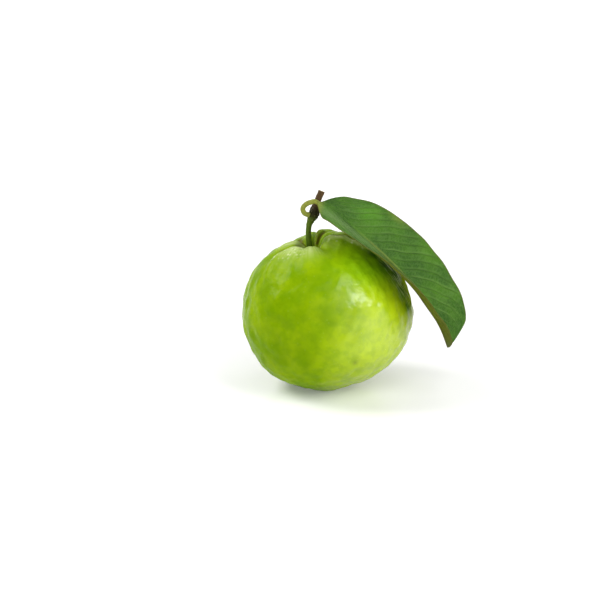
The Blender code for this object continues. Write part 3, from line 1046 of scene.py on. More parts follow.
    def relief(self, body: Array, polar: Array, azimuth: Array) -> dict[str, Array]:
        """The skin's relief, and the shares of it that the finish reads.

        Args:
            body: Points of the plain ball.
            polar: Each point's angle from the stalk's pole.
            azimuth: Each point's angle round the axis.

        Returns:
            The relief in metres under "height", and shares from 0 to 1 under their own names.
        """
        ring = (polar / self.shoulder_polar) ** 2 * np.exp(1.0 - (polar / self.shoulder_polar) ** 2)
        near_stalk = bell(polar, self.furrow_reach) * smoothstep(*self.furrow_fade, polar)
        from_base = math.pi - polar
        near_base = bell(from_base, self.base_reach) * smoothstep(*self.base_fade, from_base)
        swells = ring * self.bells(azimuth, self.shoulders)
        headings = skin_heading(polar, azimuth)
        for at, down, height, width in self.flanks:
            middle = skin_heading(*np.radians([down, at]))
            gap = np.arccos(np.clip(headings @ middle, -1.0, 1.0))
            swells += height * bell(gap, width)
        furrows = near_stalk * self.bells(azimuth, self.furrows)
        grooves = near_base * self.bells(azimuth, self.base_grooves)
        folds = self.small_folds(polar, azimuth)
        height = self.lumps.at(body) + self.bumps.at(body) + swells - furrows - grooves + folds
        # Painted highlight: the crests grow paler towards the lit heading; the rest of their paleness
        # is dry skin.
        toward = smoothstep(*self.crest_span, np.cos(azimuth - math.radians(self.crest_heading)))
        crest_polar, crest_reach = self.crest_ring
        crest = bell(polar - crest_polar, crest_reach)
        crest *= np.clip(1.0 - furrows / self.crest_furrow, 0.0, 1.0)
        crest *= self.crest_shares[0] + self.crest_shares[1] * toward
        hollow = smoothstep(*self.brown_span, polar)
        hollow += self.basin_brown * smoothstep(*self.basin_span, from_base)
        tinted = self.furrow_tint * np.clip(furrows / self.furrow_depth, 0.0, 1.0)
        dots = np.zeros(len(polar))
        for crease in self.creases:
            away, full = crease.away(headings, 0.5 * self.width)
            shape = full * bell(away, crease.width)
            height += crease.height * MM * shape
            crest = np.maximum(crest, crease.pale * shape)
            hollow = np.maximum(hollow, crease.brown * shape)
            dots = np.maximum(dots, crease.dots * full * bell(away, crease.dot_reach))
        return {
            "height": height,
            "crest": crest,
            "furrow": tinted * bell(polar, self.furrow_polar),
            "hollow": hollow,
            "dots": dots,
        }

    def own_points(self, polar: Array, azimuth: Array) -> tuple[Array, dict[str, Array]]:
        """Points of the skin in the fruit's own frame, with the marks of its relief.

        The ball's point plus its outward direction times the relief, and then the hollow and
        the basin pressed in along the axis as bells of the distance from it.

        Args:
            polar: Angles from the stalk's pole.
            azimuth: Angles round the axis, from +X towards +Y.

        Returns:
            The points and their marks.
        """
        half = np.array([self.width / 2.0, self.width / 2.0, self.height / 2.0])
        unit = skin_heading(polar, azimuth)
        outward = unit / half
        outward /= np.linalg.norm(outward, axis=1, keepdims=True)
        marks = self.relief(unit * half, polar, azimuth)
        skin = unit * half + outward * marks.pop("height")[:, None]
        from_axis = np.hypot(skin[:, 0], skin[:, 1])
        hollow = self.hollow[0] * bell(from_axis, self.hollow[1])
        basin = self.basin[0] * bell(from_axis, self.basin[1])
        skin[:, 2] += np.where(unit[:, 2] > 0.0, -hollow, basin)
        return skin, marks

    def to_frame(self, own: Array) -> Array:
        """Points of the fruit's own frame, turned to its lean and carried to its centre."""
        return own @ np.array(self.turn.to_matrix()).T + FRUIT_CENTRE

    def build(self) -> bpy.types.Object:
        """Makes the fruit, pressed flat where it rests, and dresses it.

        Returns:
            The piece.
        """
        rings = self.rings_of_polar()
        turns = np.arange(self.meridians) * FULL_TURN / self.meridians
        polar = np.repeat(rings, self.meridians)
        azimuth = np.tile(turns, len(rings))
        own, marks = self.own_points(polar, azimuth)
        ends, _ = self.own_points(np.array([0.0, math.pi]), np.zeros(2))
        points = self.to_frame(own)
        marks |= self.tints(points, polar, azimuth)
        points[:, 2] = np.maximum(points[:, 2], 0.0)
        first, last = self.to_frame(ends)
        shape = (self.parallels, self.meridians)
        marks = {name: value.reshape(*shape, *value.shape[1:]) for name, value in marks.items()}
        piece = RingSurface("guava_fruit", points.reshape(*shape, 3), first, last).build(marks)
        piece.data.materials.append(SkinFinish().make())
        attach(piece, ROOT_BODY)
        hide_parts("fruit")
        return piece

    @staticmethod
    def away(points: Array, place: Row) -> Array:
        """Distance of each point from a place given in millimetres from the fruit's centre."""
        return np.linalg.norm(points - (FRUIT_CENTRE + np.array(place) * MM), axis=1)

    def spots(self, points: Array, rows: tuple[Row, ...]) -> Array:
        """The greatest, at each point, of the bells of the distance from each row's place."""
        return np.max([bell(self.away(points, row[:3]), row[3] * MM) for row in rows], axis=0)

    def tints(self, points: Array, polar: Array, azimuth: Array) -> dict[str, Array]:
        """The marks that follow a place on the skin and not its relief.

        The gloss is its least value plus its gain times a power of blush or polish, whichever
        is the greater. It ends on the side under the leaf and in the painted shadow, and is
        less below.

        Args:
            points: Points of the skin in the part's frame, before it is pressed flat.
            polar: Each point's angle from the stalk's pole.
            azimuth: Each point's angle round the axis.

        Returns:
            Shares from 0 to 1 under their own names, and the streaks' map under "lie".
        """
        heading, width = self.scuff_strip
        a, b, c, d = self.scuff_span
        strip = bell(angle_gap(azimuth, heading), width)
        outwards = (points - FRUIT_CENTRE) / (0.5 * self.width)
        rise = outwards[:, 2]
        blush = self.tint * smoothstep(*self.blush_span, outwards @ np.array(self.sunny_side))
        # Painted shadow of the leaf: dark skin just under its edge, which also dulls the gloss there.
        shade = self.tint * self.spots(points, self.shades)
        polish = self.polish_gloss * bell(self.away(points, self.polish_place), self.polish_reach)
        least, gain = self.gloss_range
        gloss = least + gain * np.maximum(blush, polish) ** self.gloss_power
        side = smoothstep(*self.side_span, outwards[:, 0]) * smoothstep(*self.side_rise, rise)
        gloss *= (1.0 - side) * (1.0 - shade)
        below, above = self.under_gloss
        return {
            "lie": np.stack([np.cos(azimuth), np.sin(azimuth), self.lie_rate * polar], axis=1),
            "scar": self.scar_tint * self.spots(points, self.scars),
            "scuff": strip * smoothstep(a, b, polar) * smoothstep(d, c, polar),
            "shade": shade,
            "blush": blush,
            # Painted light under the leaf: brighter green skin.
            "painted_light": self.tint * bell(self.away(points, self.painted_light_place), self.painted_light_reach),
            "gloss": gloss * (below + above * smoothstep(*self.under_span, rise)),
        }


@dataclass
class Stem:
    """The fruit stalk, the node above it and the twig with its cut end, grown as one.

    Attributes:
        rows: x, y and z from the fruit's centre, and the radius, from the root up.
        stations: Rings along it.
        sides: Points round each ring.
        ribs: How many low ribs run along it.
        rib_height: Their height.
        rib_twist: How far they turn round it on the way up.
        node_place: The node's middle, as a share of the length, and its half-length.
        ridges: How many rings of bark the whole length would have; only the node's show.
        ridge_height: Their height.
        ridge_sway: How far each rises and falls on its way round, as an angle.
        knobs: The small knobs of the bark.
        knob_shares: How high the knobs are all along, and what they gain at the node.
        cut_rings: Rings on the cut end.
        cut_span: Sizes of the first and the last of them, as shares of the end's radius.
        pith_span: Shares of that radius over which the pith starts.
        bark_radius: Radius of the bark's own map.
        twig_span: Where the brown bark starts and is full, from the node's middle.
        node_tint: Strength of the node's dark colour, its shift up and its growth in length;
        that dark is partly painted shade under the leaf stalk.
    """

    rows: tuple[Row, ...] = (
        (-0.0079, -0.0057, 0.0300, 0.00170),
        (-0.0089, -0.0066, 0.0362, 0.00150),
        (-0.0095, -0.0075, 0.0430, 0.00140),
        (-0.0089, -0.0078, 0.0488, 0.00155),
        (-0.0066, -0.0077, 0.0543, 0.00275),
        (-0.0049, -0.0073, 0.0600, 0.00180),
        (-0.0026, -0.0067, 0.0657, 0.00175),
    )
    stations: int = 260
    sides: int = 96
    ribs: int = 5
    rib_height: float = 0.07 * MM
    rib_twist: float = 1.2
    node_place: tuple[float, float] = (0.67, 0.09)
    ridges: float = 26.0
    ridge_height: float = 0.10 * MM
    ridge_sway: float = 1.5
    knobs: SineLumps = SineLumps(5, 30, 0.06 * MM, (0.0012, 0.0040))
    knob_shares: tuple[float, float] = (0.5, 1.3)
    cut_rings: int = 14
    cut_span: tuple[float, float] = (0.96, 0.06)
    pith_span: tuple[float, float] = (0.42, 0.30)
    bark_radius: float = 1.7 * MM
    twig_span: tuple[float, float] = (-0.10, 0.06)
    node_tint: tuple[float, float, float] = (0.95, 0.02, 1.15)

    def build(self) -> bpy.types.Object:
        """Makes the stalk: rings of its radius plus ribs and knobs, closed by its cut end.

        Returns:
            The piece.
        """
        path = SmoothPath(self.rows)
        wanted = np.linspace(0.0, path.lengths[-1], self.stations)
        share = (wanted / wanted[-1])[:, None]
        turns = np.arange(self.sides)[None] * FULL_TURN / self.sides
        frames = path.frames(wanted)
        radii = path.at(wanted)[:, 3:]
        node_at, node_reach = self.node_place
        node = bell(share - node_at, node_reach)
        wound = turns + self.rib_twist * share
        ribs = self.rib_height * np.cos(self.ribs * wound) * (1.0 - node)
        swing = FULL_TURN * self.ridges * share + self.ridge_sway * np.sin(turns)
        ridges = self.ridge_height * node * np.sin(swing)
        plain = place_rings(frames, radii * np.cos(turns), radii * np.sin(turns))
        knobs = self.knobs.at(plain.reshape(-1, 3)).reshape(plain.shape[:2])
        full = radii + ribs + ridges + knobs * (self.knob_shares[0] + self.knob_shares[1] * node)
        body = place_rings(frames, full * np.cos(turns), full * np.sin(turns))

        # The cut end: flat rings that shrink from the last ring of the bark to its middle.
        inward = np.linspace(*self.cut_span, self.cut_rings)[:, None, None]
        middle = body[-1].mean(axis=0)
        end = middle + inward * (body[-1] - middle)[None]
        rings = np.concatenate([body, end])
        every = np.ones((1, self.sides))
        tail = np.ones((self.cut_rings, 1)) * every
        share = np.concatenate([share * every, tail])
        cut = np.concatenate([np.zeros(full.shape), tail])
        core = smoothstep(*self.pith_span, inward[:, :, 0]) * every
        pith = np.concatenate([np.zeros(full.shape), core])
        along = np.concatenate([wanted, np.full(self.cut_rings, wanted[-1])])[:, None] * every
        wrap = self.bark_radius * np.cos(turns), self.bark_radius * np.sin(turns), along
        below, above = self.twig_span
        strength, shift, growth = self.node_tint
        marks = {
            "bark": np.stack(np.broadcast_arrays(*wrap), axis=-1),
            "twig": smoothstep(node_at + below, node_at + above, share),
            "node": strength * bell(share - node_at - shift, node_reach * growth),
            "cut": cut,
            "pith": pith,
        }
        piece = RingSurface("guava_stalk", rings + FRUIT_CENTRE, *self.ends(rings)).build(marks)
        piece.data.materials.append(BarkFinish().make())
        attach(piece, ROOT_BODY)
        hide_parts("stem")
        return piece

    @staticmethod
    def ends(rings: Array) -> tuple[Array, Array]:
        """The middles of the first and the last ring, in the part's frame."""
        return rings[0].mean(axis=0) + FRUIT_CENTRE, rings[-1].mean(axis=0) + FRUIT_CENTRE


@dataclass
class Leaf:
    """The leaf: a curled stalk that runs on as the midrib of a folded blade.

    Attributes:
        stalk: Points of the leaf stalk from the fruit's centre.
        midrib: Points of the midrib, which runs on from the stalk.
        stalk_radius: Radius of the leaf stalk.
        thickness: Thickness of the blade beside its midrib.
        thinning: The share of it that is gone at the margin, and the power on the way there.
        rib: Depth and half-width of the midrib beneath the blade.
        rib_tip_share: The midrib's size at the tip, as a share of that at the base.
        rib_groove: Depth and half-width of the groove over the midrib.
        half_width: Greatest half-width of the blade.
        tip_half_width: Half-width at the tip.
        skew: Power on the length, which moves the widest place.
        fullness: Power on the outline's sine.
        tip_point: What the power gains at the tip.
        tip_start: Where the tip starts, as a share of the length.
        flatten: Shares over which the round stalk flattens into the blade.
        far_widen: Shares over which the far half reaches its full width.
        fold: Share, and the degrees that the near half and the far half rise there.
        side_veins: Side veins on each half.
        vein_slant: How far they run on towards the tip.
        vein_bend: How much further they do so by the margin.
        vein_sways: Height and number of the two waves that they sway in.
        vein_depth: How deep they lie.
        vein_groove: Depth of the groove along a vein, as a share of that, and its half-width.
        vein_ends: Shares of the length where the veins start, are full, wane and end.
        vein_sides: The same from the midrib to the margin.
        vein_line: Half-width of a vein's colour, as a share of the way to the next vein.
        vein_mix: A vein's mean strength, how far it varies, and the step from vein to vein.
        beside: Where the painted shade beside a vein lies and its half-width, as such shares.
        lush: The brightest patch: strength, and middle and half-width along and across.
        dry: The far half's dry rim: strength, middle and half-width along, and span across.
        painted_sheen: The near half's painted sheen: strength, middle and half-width across,
        and span along.
        olive: The near half's olive tip: strength and span along.
        near_half: Places across over which the near half starts.
        line: The midrib's pale line above, partly painted highlight: strength, place and
        half-width in metres, and span along.
        rib_line: Half-width of the midrib's colour beneath.
        margin: The dry edge: its strength and its span from the midrib to the margin.
        stalk_end: Shares of the length over which the stalk's colour ends.
        chart_length: Length of the blade on its own map, where its width is 1.
        stalk_stations: Rings along the stalk.
        blade_stations: Rings along the blade.
        columns: Strips from margin to margin.
        crowding: Power that crowds the strips towards the midrib.
        ripples: The low ripples of the blade.
        ripple_span: Shares of the way to the margin over which they start.
    """

    stalk: tuple[Row, ...] = (
        (-0.0092, -0.0104, 0.0539),
        (-0.0115, -0.0114, 0.0551),
        (-0.0123, -0.0120, 0.0577),
        (-0.0106, -0.0126, 0.0600),
        (-0.0080, -0.0129, 0.0611),
    )
    midrib: tuple[Row, ...] = (
        (-0.0050, -0.0128, 0.0612),
        (0.0036, -0.0122, 0.0565),
        (0.0155, -0.0122, 0.0458),
        (0.0292, -0.0125, 0.0331),
        (0.0392, -0.0125, 0.0228),
        (0.0464, -0.0125, 0.0147),
        (0.0520, -0.0125, 0.0067),
        (0.0575, -0.0125, -0.0014),
        (0.0609, -0.0123, -0.0082),
        (0.0639, -0.0120, -0.0164),
    )
    stalk_radius: float = 0.0013
    thickness: float = 0.0006
    thinning: tuple[float, int] = (0.6, 6)
    rib: tuple[float, float] = (0.0012, 0.0013)
    rib_tip_share: float = 0.25
    rib_groove: tuple[float, float] = (0.25 * MM, 0.9 * MM)
    half_width: float = 0.0260
    tip_half_width: float = 0.0002
    skew: float = 1.17
    fullness: float = 0.37
    tip_point: float = 0.23
    tip_start: float = 0.92
    flatten: tuple[float, float] = (-0.03, 0.05)
    far_widen: tuple[float, float] = (-0.03, 0.12)
    fold: tuple[Row, ...] = (
        (0.00, -46.0, 25.0),
        (0.07, -20.0, 26.0),
        (0.20, -6.0, 43.5),
        (0.32, 1.5, 48.0),
        (0.45, 6.0, 48.0),
        (0.70, 9.0, 48.5),
        (1.00, 12.0, 60.0),
    )
    side_veins: int = 16
    vein_slant: float = 0.24
    vein_bend: float = 0.035
    vein_sways: tuple[Row, Row] = ((0.005, 3.3), (0.002, 6.7))
    vein_depth: float = 0.0008
    vein_groove: tuple[float, float] = (0.5, 0.12)
    vein_ends: tuple[float, float, float, float] = (0.03, 0.20, 0.85, 1.00)
    vein_sides: tuple[float, float, float, float] = (0.02, 0.25, 0.80, 1.00)
    vein_line: float = 0.085
    vein_mix: tuple[float, float, float] = (0.7, 0.3, 2.3)
    beside: tuple[float, float] = (0.14, 0.10)
    lush: Row = (0.65, 0.24, 0.07, 0.62, 0.28)
    dry: Row = (0.3, 0.37, 0.05, 0.78, 0.98)
    painted_sheen: Row = (0.38, -0.52, 0.30, 0.60, 0.20)
    olive: Row = (0.85, 0.30, 0.46)
    near_half: tuple[float, float] = (0.05, -0.05)
    line: Row = (0.9, 0.3 * MM, 0.6 * MM, 0.18, 0.50)
    rib_line: float = 1.1 * MM
    margin: Row = (0.8, 0.955, 0.995)
    stalk_end: tuple[float, float] = (-0.02, 0.05)
    chart_length: float = 2.1
    stalk_stations: int = 60
    blade_stations: int = 250
    columns: int = 110
    crowding: float = 1.3
    ripples: SineLumps = SineLumps(23, 16, 0.16 * MM, (0.010, 0.024))
    ripple_span: tuple[float, float] = (0.1, 0.6)

    def rib_share(self, share: Array) -> Array:
        """The midrib's size along the blade, as a share of that at its base."""
        return 1.0 - (1.0 - self.rib_tip_share) * np.clip(share, 0.0, 1.0)

    def blade_half_width(self, share: Array) -> Array:
        """Half-width along the blade.

        The greatest half-width times a power of sin(pi share^skew), and the power grows
        towards the tip.

        Args:
            share: Places along the blade, from 0 to 1.

        Returns:
            One half-width in metres for each place.
        """
        inside = np.clip(share, 0.0, 1.0)
        power = self.fullness + self.tip_point * smoothstep(self.tip_start, 1.0, inside)
        width = self.half_width * np.abs(np.sin(math.pi * inside**self.skew)) ** power
        return np.maximum(width, self.tip_half_width)

    def vein_place(self, share: Array, across: Array) -> Array:
        """How many side veins lie before a point; whole numbers are on a vein.

        The number of veins times the place along the blade, plus a small sway, less the slant
        times the way to the margin and the bend times its square.

        Args:
            share: Places along the blade, from 0 to 1.
            across: Places from the midrib, 0, to the margin, 1.

        Returns:
            The number at each point, with its fraction.
        """
        (slow, slow_waves), (quick, quick_waves) = self.vein_sways
        sway = slow * np.sin(FULL_TURN * slow_waves * share)
        sway = sway + quick * np.sin(FULL_TURN * (quick_waves * share + across))
        return self.side_veins * (share + sway - self.vein_slant * across - self.vein_bend * across**2)

    def vein_fade(self, share: Array, across: Array) -> Array:
        """Where the side veins show: not at the ends, the midrib or the margin.

        Args:
            share: Places along the blade, from 0 to 1.
            across: Places from the midrib, 0, to the margin, 1.

        Returns:
            How fully they show at each point, from 0 to 1.
        """
        a, b, c, d = self.vein_ends
        lengthwise = smoothstep(a, b, share) * smoothstep(d, c, share)
        a, b, c, d = self.vein_sides
        return lengthwise * smoothstep(a, b, across) * smoothstep(d, c, across)

    def vein_relief(self, share: Array, across: Array) -> Array:
        """Soft swells between the side veins, with a narrower groove along each vein.

        The depth times the fade times the sum of half a cosine from vein to vein, lowest on
        the veins, and a groove, a bell of the distance from the nearest vein.

        Args:
            share: Places along the blade, from 0 to 1.
            across: Places from the midrib, 0, to the margin, 1.

        Returns:
            The relief in metres.
        """
        place = self.vein_place(share, across)
        deep, reach = self.vein_groove
        swell = -0.5 * np.cos(FULL_TURN * place)
        groove = -deep * bell(place - np.round(place), reach)
        return self.vein_depth * self.vein_fade(share, across) * (swell + groove)

    def build(self) -> bpy.types.Object:
        """Makes the leaf, both faces and its stalk, and dresses it.

        Each ring has the upper face from the near margin to the far one, and then the lower
        face back. On the stalk the ring is round, and it flattens into the blade's section.

        Returns:
            The piece.
        """
        path = SmoothPath(self.stalk + self.midrib)
        blade_start = path.lengths[len(self.stalk) * path.steps]
        before = np.linspace(0.0, blade_start, self.stalk_stations, endpoint=False)
        after = np.linspace(blade_start, path.lengths[-1], self.blade_stations)
        wanted = np.concatenate([before, after])
        frames = path.frames(wanted)
        share = ((wanted - blade_start) / (wanted[-1] - blade_start))[:, None]
        flat = smoothstep(*self.flatten, share)
        turns = (np.arange(self.columns + 1)[None] + 0.5) * math.pi / (self.columns + 1)
        across = np.linspace(-1.0, 1.0, self.columns + 1)[None]
        across = np.sign(across) * np.abs(across) ** self.crowding

        folds = SmoothPath(self.fold).curve
        near = np.radians(np.interp(share, folds[:, 0], folds[:, 1]))
        far = np.radians(np.interp(share, folds[:, 0], folds[:, 2]))
        angle = np.where(across < 0.0, near, far)
        widen = np.where(across > 0.0, smoothstep(*self.far_widen, share), 1.0)
        out = self.blade_half_width(share) * across * widen
        lift = np.abs(out) * np.sin(angle) + self.vein_relief(share, np.abs(across))
        rib_share = self.rib_share(share)
        rib = self.rib[0] * rib_share * bell(out, self.rib[1] * rib_share)
        loss, power = self.thinning
        half_thick = 0.5 * self.thickness * (1.0 - loss * np.abs(across) ** power)
        groove = self.rib_groove[0] * rib_share * bell(out, self.rib_groove[1])

        side = flat * out * np.cos(angle) - (1.0 - flat) * self.stalk_radius * np.cos(turns)
        round_lift = (1.0 - flat) * self.stalk_radius * np.sin(turns)
        flat_middle = place_rings(frames, side, flat * lift)
        waves = self.ripples.at(flat_middle.reshape(-1, 3)).reshape(side.shape)
        lift = lift + waves * smoothstep(*self.ripple_span, np.abs(across))
        upper = place_rings(frames, side, flat * (lift + half_thick - groove) + round_lift)
        lower = place_rings(frames, side, flat * (lift - half_thick - rib) - round_lift)
        rings = self.both(upper, lower) + FRUIT_CENTRE

        one = np.ones(side.shape)
        chart = np.stack([share * self.chart_length * one, 0.5 + 0.5 * across * one], axis=-1)
        ends = rings[0].mean(axis=0), rings[-1].mean(axis=0)
        surface = RingSurface("guava_leaf", rings, *ends)
        piece = surface.build(self.tints(share, across, out, flat), self.both(chart, chart))
        piece.data.materials.append(LeafFinish().make())
        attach(piece, ROOT_BODY)
        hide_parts("leaf")
        return piece

    @staticmethod
    def both(upper: Array, lower: Array) -> Array:
        """Values for the whole ring: the upper face's, and then the lower face's backwards."""
        return np.concatenate([upper, lower[:, ::-1]], axis=1)

    def tints(self, share: Array, across: Array, out: Array, flat: Array) -> dict[str, Array]:
        """Where each of the leaf's colours shows.

        Both faces have the same marks, and "under" tells the finish which face it is on.

        Args:
            share: Each ring's place along the blade, below 0 on the stalk.
            across: Each column's place from the near margin, -1, to the far one, 1.
            out: Distance of each point from the midrib, in metres.
            flat: How far each ring is flattened into the blade, from 0 to 1.

        Returns:
            Shares from 0 to 1 for the points of the rings, under their own names.
        """
        aside = np.abs(across)
        one = np.ones(out.shape)
        place = self.vein_place(share, aside)
        fade = self.vein_fade(share, aside)
        mean, change, step = self.vein_mix
        uneven = mean + change * np.sin(step * np.round(place))
        vein = bell(place - np.round(place), self.vein_line) * fade * uneven
        # Painted shade beside each vein, for the shadow of its relief.
        shift, reach = self.beside
        painted_vein_shade = bell((place - shift) - np.round(place - shift), reach) * fade
        strength, middle, reach, off, off_reach = self.lush
        lush = strength * bell(share - middle, reach) * bell(across - off, off_reach)
        strength, middle, reach, start, full = self.dry
        dry = strength * bell(share - middle, reach) * smoothstep(start, full, across)
        # Painted sheen on the near half: a pale band across it, from the base on.
        strength, off, reach, start, full = self.painted_sheen
        pale = bell(across - off, reach) * smoothstep(start, full, share)
        pale = pale * np.where(across < 0.0, strength, 0.0)
        olive_strength, start, full = self.olive
        olive = smoothstep(start, full, share) * smoothstep(*self.near_half, across)
        # The midrib's pale line, partly a painted highlight on its edge, and the far half's dry rim.
        line_strength, off, reach, start, full = self.line
        line = bell(out - off, reach) * smoothstep(start, full, share)
        strength, start, full = self.margin
        marks = {
            "vein": vein,
            "painted_vein_shade": painted_vein_shade,
            "pale": pale,
            "olive": olive_strength * olive,
            "line": np.maximum(line_strength * line, dry),
            "lush": lush,
            "rib": bell(out, self.rib_line) * flat,
            "margin": strength * smoothstep(start, full, aside) * flat,
            "stalk": (1.0 - smoothstep(*self.stalk_end, share)) * one,
        }
        marks = {name: self.both(value, value) for name, value in marks.items()}
        marks["under"] = self.both(0.0 * one, one)
        return marks


@dataclass
class Calyx:
    """The calyx: sepals on a short stub, which stands in the fruit's basin.

    Attributes:
        sepals: How many sepals.
        sepal_length: From the crown to a sepal's tip.
        sepal_notch: From the crown to the notch between two.
        flare: How far the sepals open from the axis.
        crown_drop: The crown's depth below the basin's floor.
        radius: Radius of the stub.
        thickness: Thickness of a sepal.
        thinning: The share of it that is gone at the tip.
        root: How deep the stub stands in the fruit.
        petal_power: Power on the cosine that shapes a sepal; a lower one makes it blunter.
        curl: How much further a sepal opens by its tip, as an angle.
        creases: How many fine creases run down each sepal.
        crease_height: Their height at the tip.
        crease_twist: How far they turn on the way down, as an angle.
        inner_drop: How far the inner face lies lower, as a share of the thickness.
        stub_rings: Rings down the stub.
        tip_shares: How dry the sepals are at their root, and what they gain by their tips.
        meridians: Points round each ring.
        rows_along: Rings down each face of the sepals.
        fruit: The fruit in whose basin it stands.
    """

    sepals: int = 5
    sepal_length: float = 0.0028
    sepal_notch: float = 0.0010
    flare: float = math.radians(35.0)
    crown_drop: float = 0.0014
    radius: float = 0.0030
    thickness: float = 0.0007
    thinning: float = 0.6
    root: float = 0.0022
    petal_power: float = 0.8
    curl: float = 0.35
    creases: int = 8
    crease_height: float = 0.10 * MM
    crease_twist: float = 3.0
    inner_drop: float = 0.6
    stub_rings: int = 6
    tip_shares: tuple[float, float] = (0.35, 0.65)
    meridians: int = 240
    rows_along: int = 24
    fruit: Fruit = field(default_factory=Fruit)

    def build(self) -> bpy.types.Object:
        """Makes the calyx: rings down the outside of the sepals and back up their inside.

        Returns:
            The piece.
        """
        turns = np.arange(self.meridians)[None] * FULL_TURN / self.meridians
        petal = np.abs(np.cos(self.sepals * turns / 2.0)) ** self.petal_power
        length = self.sepal_notch + (self.sepal_length - self.sepal_notch) * petal
        share = np.linspace(0.0, 1.0, self.rows_along)[:, None]
        curl = self.flare + self.curl * share**2
        swing = self.sepals * self.creases * turns + self.crease_twist * share
        crease = self.crease_height * np.cos(swing) * share
        out = self.radius + share * length * np.sin(curl) + crease
        down = self.crown_drop + share * length * np.cos(curl)
        thin = self.thickness * (1.0 - self.thinning * share)
        inner_out = (out - thin * np.cos(curl))[::-1]
        inner_down = (down + self.inner_drop * thin * np.sin(curl))[::-1]
        stub_out = np.full((self.stub_rings, self.meridians), self.radius)
        steps = np.linspace(-self.root, self.crown_drop, self.stub_rings, endpoint=False)
        stub_down = steps[:, None]
        outs = np.concatenate([stub_out, out, inner_out])
        downs = np.concatenate([stub_down * np.ones((1, self.meridians)), down, inner_down])
        ends, _ = self.fruit.own_points(np.array([math.pi]), np.zeros(1))
        floor = ends[0, 2]
        own = np.stack([outs * np.cos(turns), outs * np.sin(turns), floor - downs], axis=-1)
        points = self.fruit.to_frame(own.reshape(-1, 3)).reshape(own.shape)
        outer = np.concatenate([np.zeros(stub_out.shape), share * np.ones(out.shape)])
        outer = np.concatenate([outer, (share * np.ones(out.shape))[::-1]])
        ends = points[0].mean(axis=0), points[-1].mean(axis=0)
        marks = {"outer": self.tip_shares[0] + self.tip_shares[1] * outer}
        piece = RingSurface("guava_calyx", points, *ends).build(marks)
        piece.data.materials.append(CalyxFinish().make())
        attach(piece, ROOT_BODY)
        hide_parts("calyx")
        return piece


@dataclass(frozen=True)
class Softbox:
    """A square soft light that looks at the fruit.

    Attributes:
        name: The light's name.
        towards: Direction from the fruit to the light.
        distance: How far away it stands.
        size: Length of its side.
        power: Its power in watts.
        tint: Its colour.
    """

    name: str
    towards: Row
    distance: float
    size: float
    power: float
    tint: Colour = (1.0, 1.0, 1.0)

    def hang(self) -> None:
        """Puts the light in the scene."""
        lamp = bpy.data.lights.new(self.name, "AREA")
        lamp.shape = "SQUARE"
        lamp.size = self.size
        lamp.energy = self.power
        lamp.color = self.tint
        holder = bpy.data.objects.new(self.name, lamp)
        heading = Vector(self.towards).normalized()
        holder.location = Vector(FRUIT_CENTRE) + heading * self.distance
        holder.rotation_mode = "QUATERNION"
        holder.rotation_quaternion = heading.to_track_quat("Z", "Y")
        bpy.context.scene.collection.objects.link(holder)


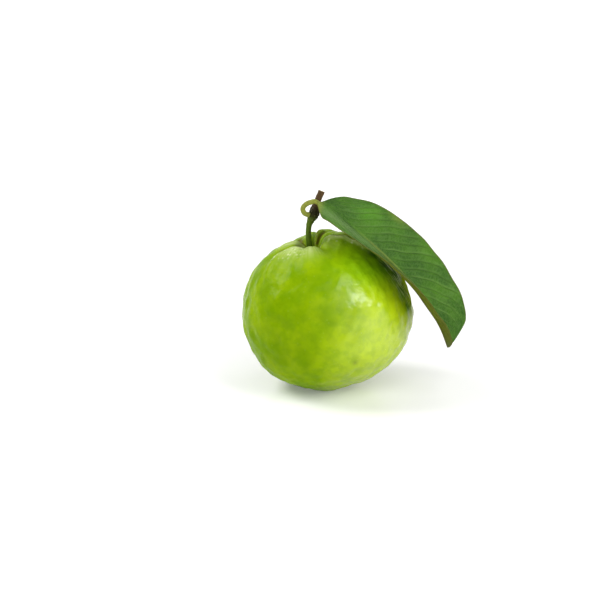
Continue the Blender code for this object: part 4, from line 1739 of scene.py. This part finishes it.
@dataclass
class Studio:
    """A pale floor, soft lights and a camera at the photograph's angle.

    Attributes:
        floor_side: Length of the floor's side.
        floor_colour: The floor's colour.
        floor_glow: Light of the floor's own near the fruit and far from it, so that it stays white.
        glow_reach: Distances over which the floor's own light grows.
        floor_finish: The floor's roughness and its specular level.
        sky: Brightness of the white room in front of the fruit and behind it.
        sky_span: Shares of a ray's heading along +Y over which the room grows brighter.
        boxes: The soft lights.
        lens: The camera's focal length in millimetres.
        sensor: The sensor's width in millimetres.
        distance: From the camera to the fruit's centre.
        elevation: How far the camera looks down, in degrees.
        fruit_pixel: Where the fruit's centre lies in the picture.
        picture_side: The picture's side in pixels.
    """

    floor_side: float = 14.0
    floor_colour: Colour = (0.82, 0.82, 0.82)
    floor_glow: tuple[float, float] = (0.17, 0.78)
    glow_reach: tuple[float, float] = (0.10, 0.70)
    floor_finish: tuple[float, float] = (0.20, 0.50)
    sky: tuple[float, float] = (0.10, 0.55)
    sky_span: tuple[float, float] = (-0.4, 0.8)
    boxes: tuple[Softbox, ...] = (
        Softbox("front_right_box", (0.690, -0.545, 0.480), 0.75, 0.46, 4.3),
        Softbox("high_front_box", (0.305, -0.442, 0.843), 0.75, 0.22, 0.9),
        Softbox("front_fill_box", (-0.10, -0.88, 0.46), 0.90, 0.80, 2.6),
        Softbox("top_box", (0.35, 0.25, 0.90), 0.80, 0.60, 1.2),
        Softbox("left_rim_box", (-0.72, 0.12, 0.68), 0.80, 0.40, 5.4),
    )
    lens: float = 85.0
    sensor: float = 36.0
    distance: float = 0.750
    elevation: float = 15.0
    fruit_pixel: tuple[float, float] = (326.0, 311.0)
    picture_side: float = 600.0

    def lay_floor(self) -> None:
        """Lays the floor, which isn't part of the object."""
        half = self.floor_side / 2.0
        mesh = bpy.data.meshes.new("pale_floor")
        corners = [(-half, -half, 0.0), (half, -half, 0.0), (half, half, 0.0), (-half, half, 0.0)]
        mesh.from_pydata(corners, [], [(0, 1, 2, 3)])
        sheet = Sheet("pale_floor")
        near, far = self.floor_glow
        length = sheet.nodes.new("ShaderNodeVectorMath")
        length.operation = "LENGTH"
        sheet.put(length.inputs[0], sheet.place())
        away = sheet.ramp(length.outputs["Value"], *self.glow_reach)
        glow = sheet.blend(away, (near, near, near), (far, far, far))
        roughness, specular = self.floor_finish
        sheet.set(
            Base_Color=(*self.floor_colour, 1.0),
            Roughness=roughness,
            Specular_IOR_Level=specular,
            Emission_Color=glow,
            Emission_Strength=1.0,
        )
        mesh.materials.append(sheet.material)
        floor = bpy.data.objects.new("pale_floor", mesh)
        bpy.context.scene.collection.objects.link(floor)

    def fill_room(self) -> None:
        """Fills the room with white light, dim in front and bright behind, and hangs the boxes."""
        world = bpy.data.worlds.new("white_room")
        world.use_nodes = True
        tree = world.node_tree
        direction = tree.nodes.new("ShaderNodeTexCoord").outputs["Generated"]
        split = tree.nodes.new("ShaderNodeSeparateXYZ")
        strength = tree.nodes.new("ShaderNodeMapRange")
        strength.interpolation_type = "SMOOTHSTEP"
        names = ("From Min", "From Max", "To Min", "To Max")
        for name, number in zip(names, (*self.sky_span, *self.sky)):
            strength.inputs[name].default_value = number
        backdrop = tree.nodes["Background"]
        backdrop.inputs["Color"].default_value = (1.0, 1.0, 1.0, 1.0)
        tree.links.new(direction, split.inputs["Vector"])
        tree.links.new(split.outputs["Y"], strength.inputs["Value"])
        tree.links.new(strength.outputs["Result"], backdrop.inputs["Strength"])
        bpy.context.scene.world = world
        bpy.context.scene.view_settings.view_transform = "Standard"
        for box in self.boxes:
            box.hang()

    def set_camera(self) -> None:
        """Sets the camera so that the fruit's centre falls on its pixel.

        From the centre, the camera is back by its distance, and left and up by the pixel's
        offset from the picture's middle over the focal length in pixels, times that distance.
        """
        tilt = math.radians(self.elevation)
        right = np.array([1.0, 0.0, 0.0])
        upward = np.array([0.0, math.sin(tilt), math.cos(tilt)])
        forward = np.array([0.0, math.cos(tilt), -math.sin(tilt)])
        per_pixel = self.distance * self.sensor / self.lens / self.picture_side
        across, down = (pixel - self.picture_side / 2.0 for pixel in self.fruit_pixel)
        place = FRUIT_CENTRE - forward * self.distance + per_pixel * (down * upward - across * right)
        data = bpy.data.cameras.new("photo_camera")
        data.lens = self.lens
        data.sensor_width = self.sensor
        camera = bpy.data.objects.new("photo_camera", data)
        camera.location = place
        camera.rotation_euler = (math.pi / 2.0 - tilt, 0.0, 0.0)
        bpy.context.scene.collection.objects.link(camera)
        bpy.context.scene.camera = camera


def main() -> None:
    """Builds the guava's pieces in order and reports each one, and then the studio."""
    logging.basicConfig(level=logging.INFO, format="%(name)s: %(message)s")
    for maker in (Fruit(), Stem(), Leaf(), Calyx()):
        piece = maker.build()
        LOG.info("%s has %d faces", piece.name, len(piece.data.polygons))
    studio = Studio()
    studio.lay_floor()
    studio.fill_room()
    studio.set_camera()


if __name__ == "__main__":
    main()
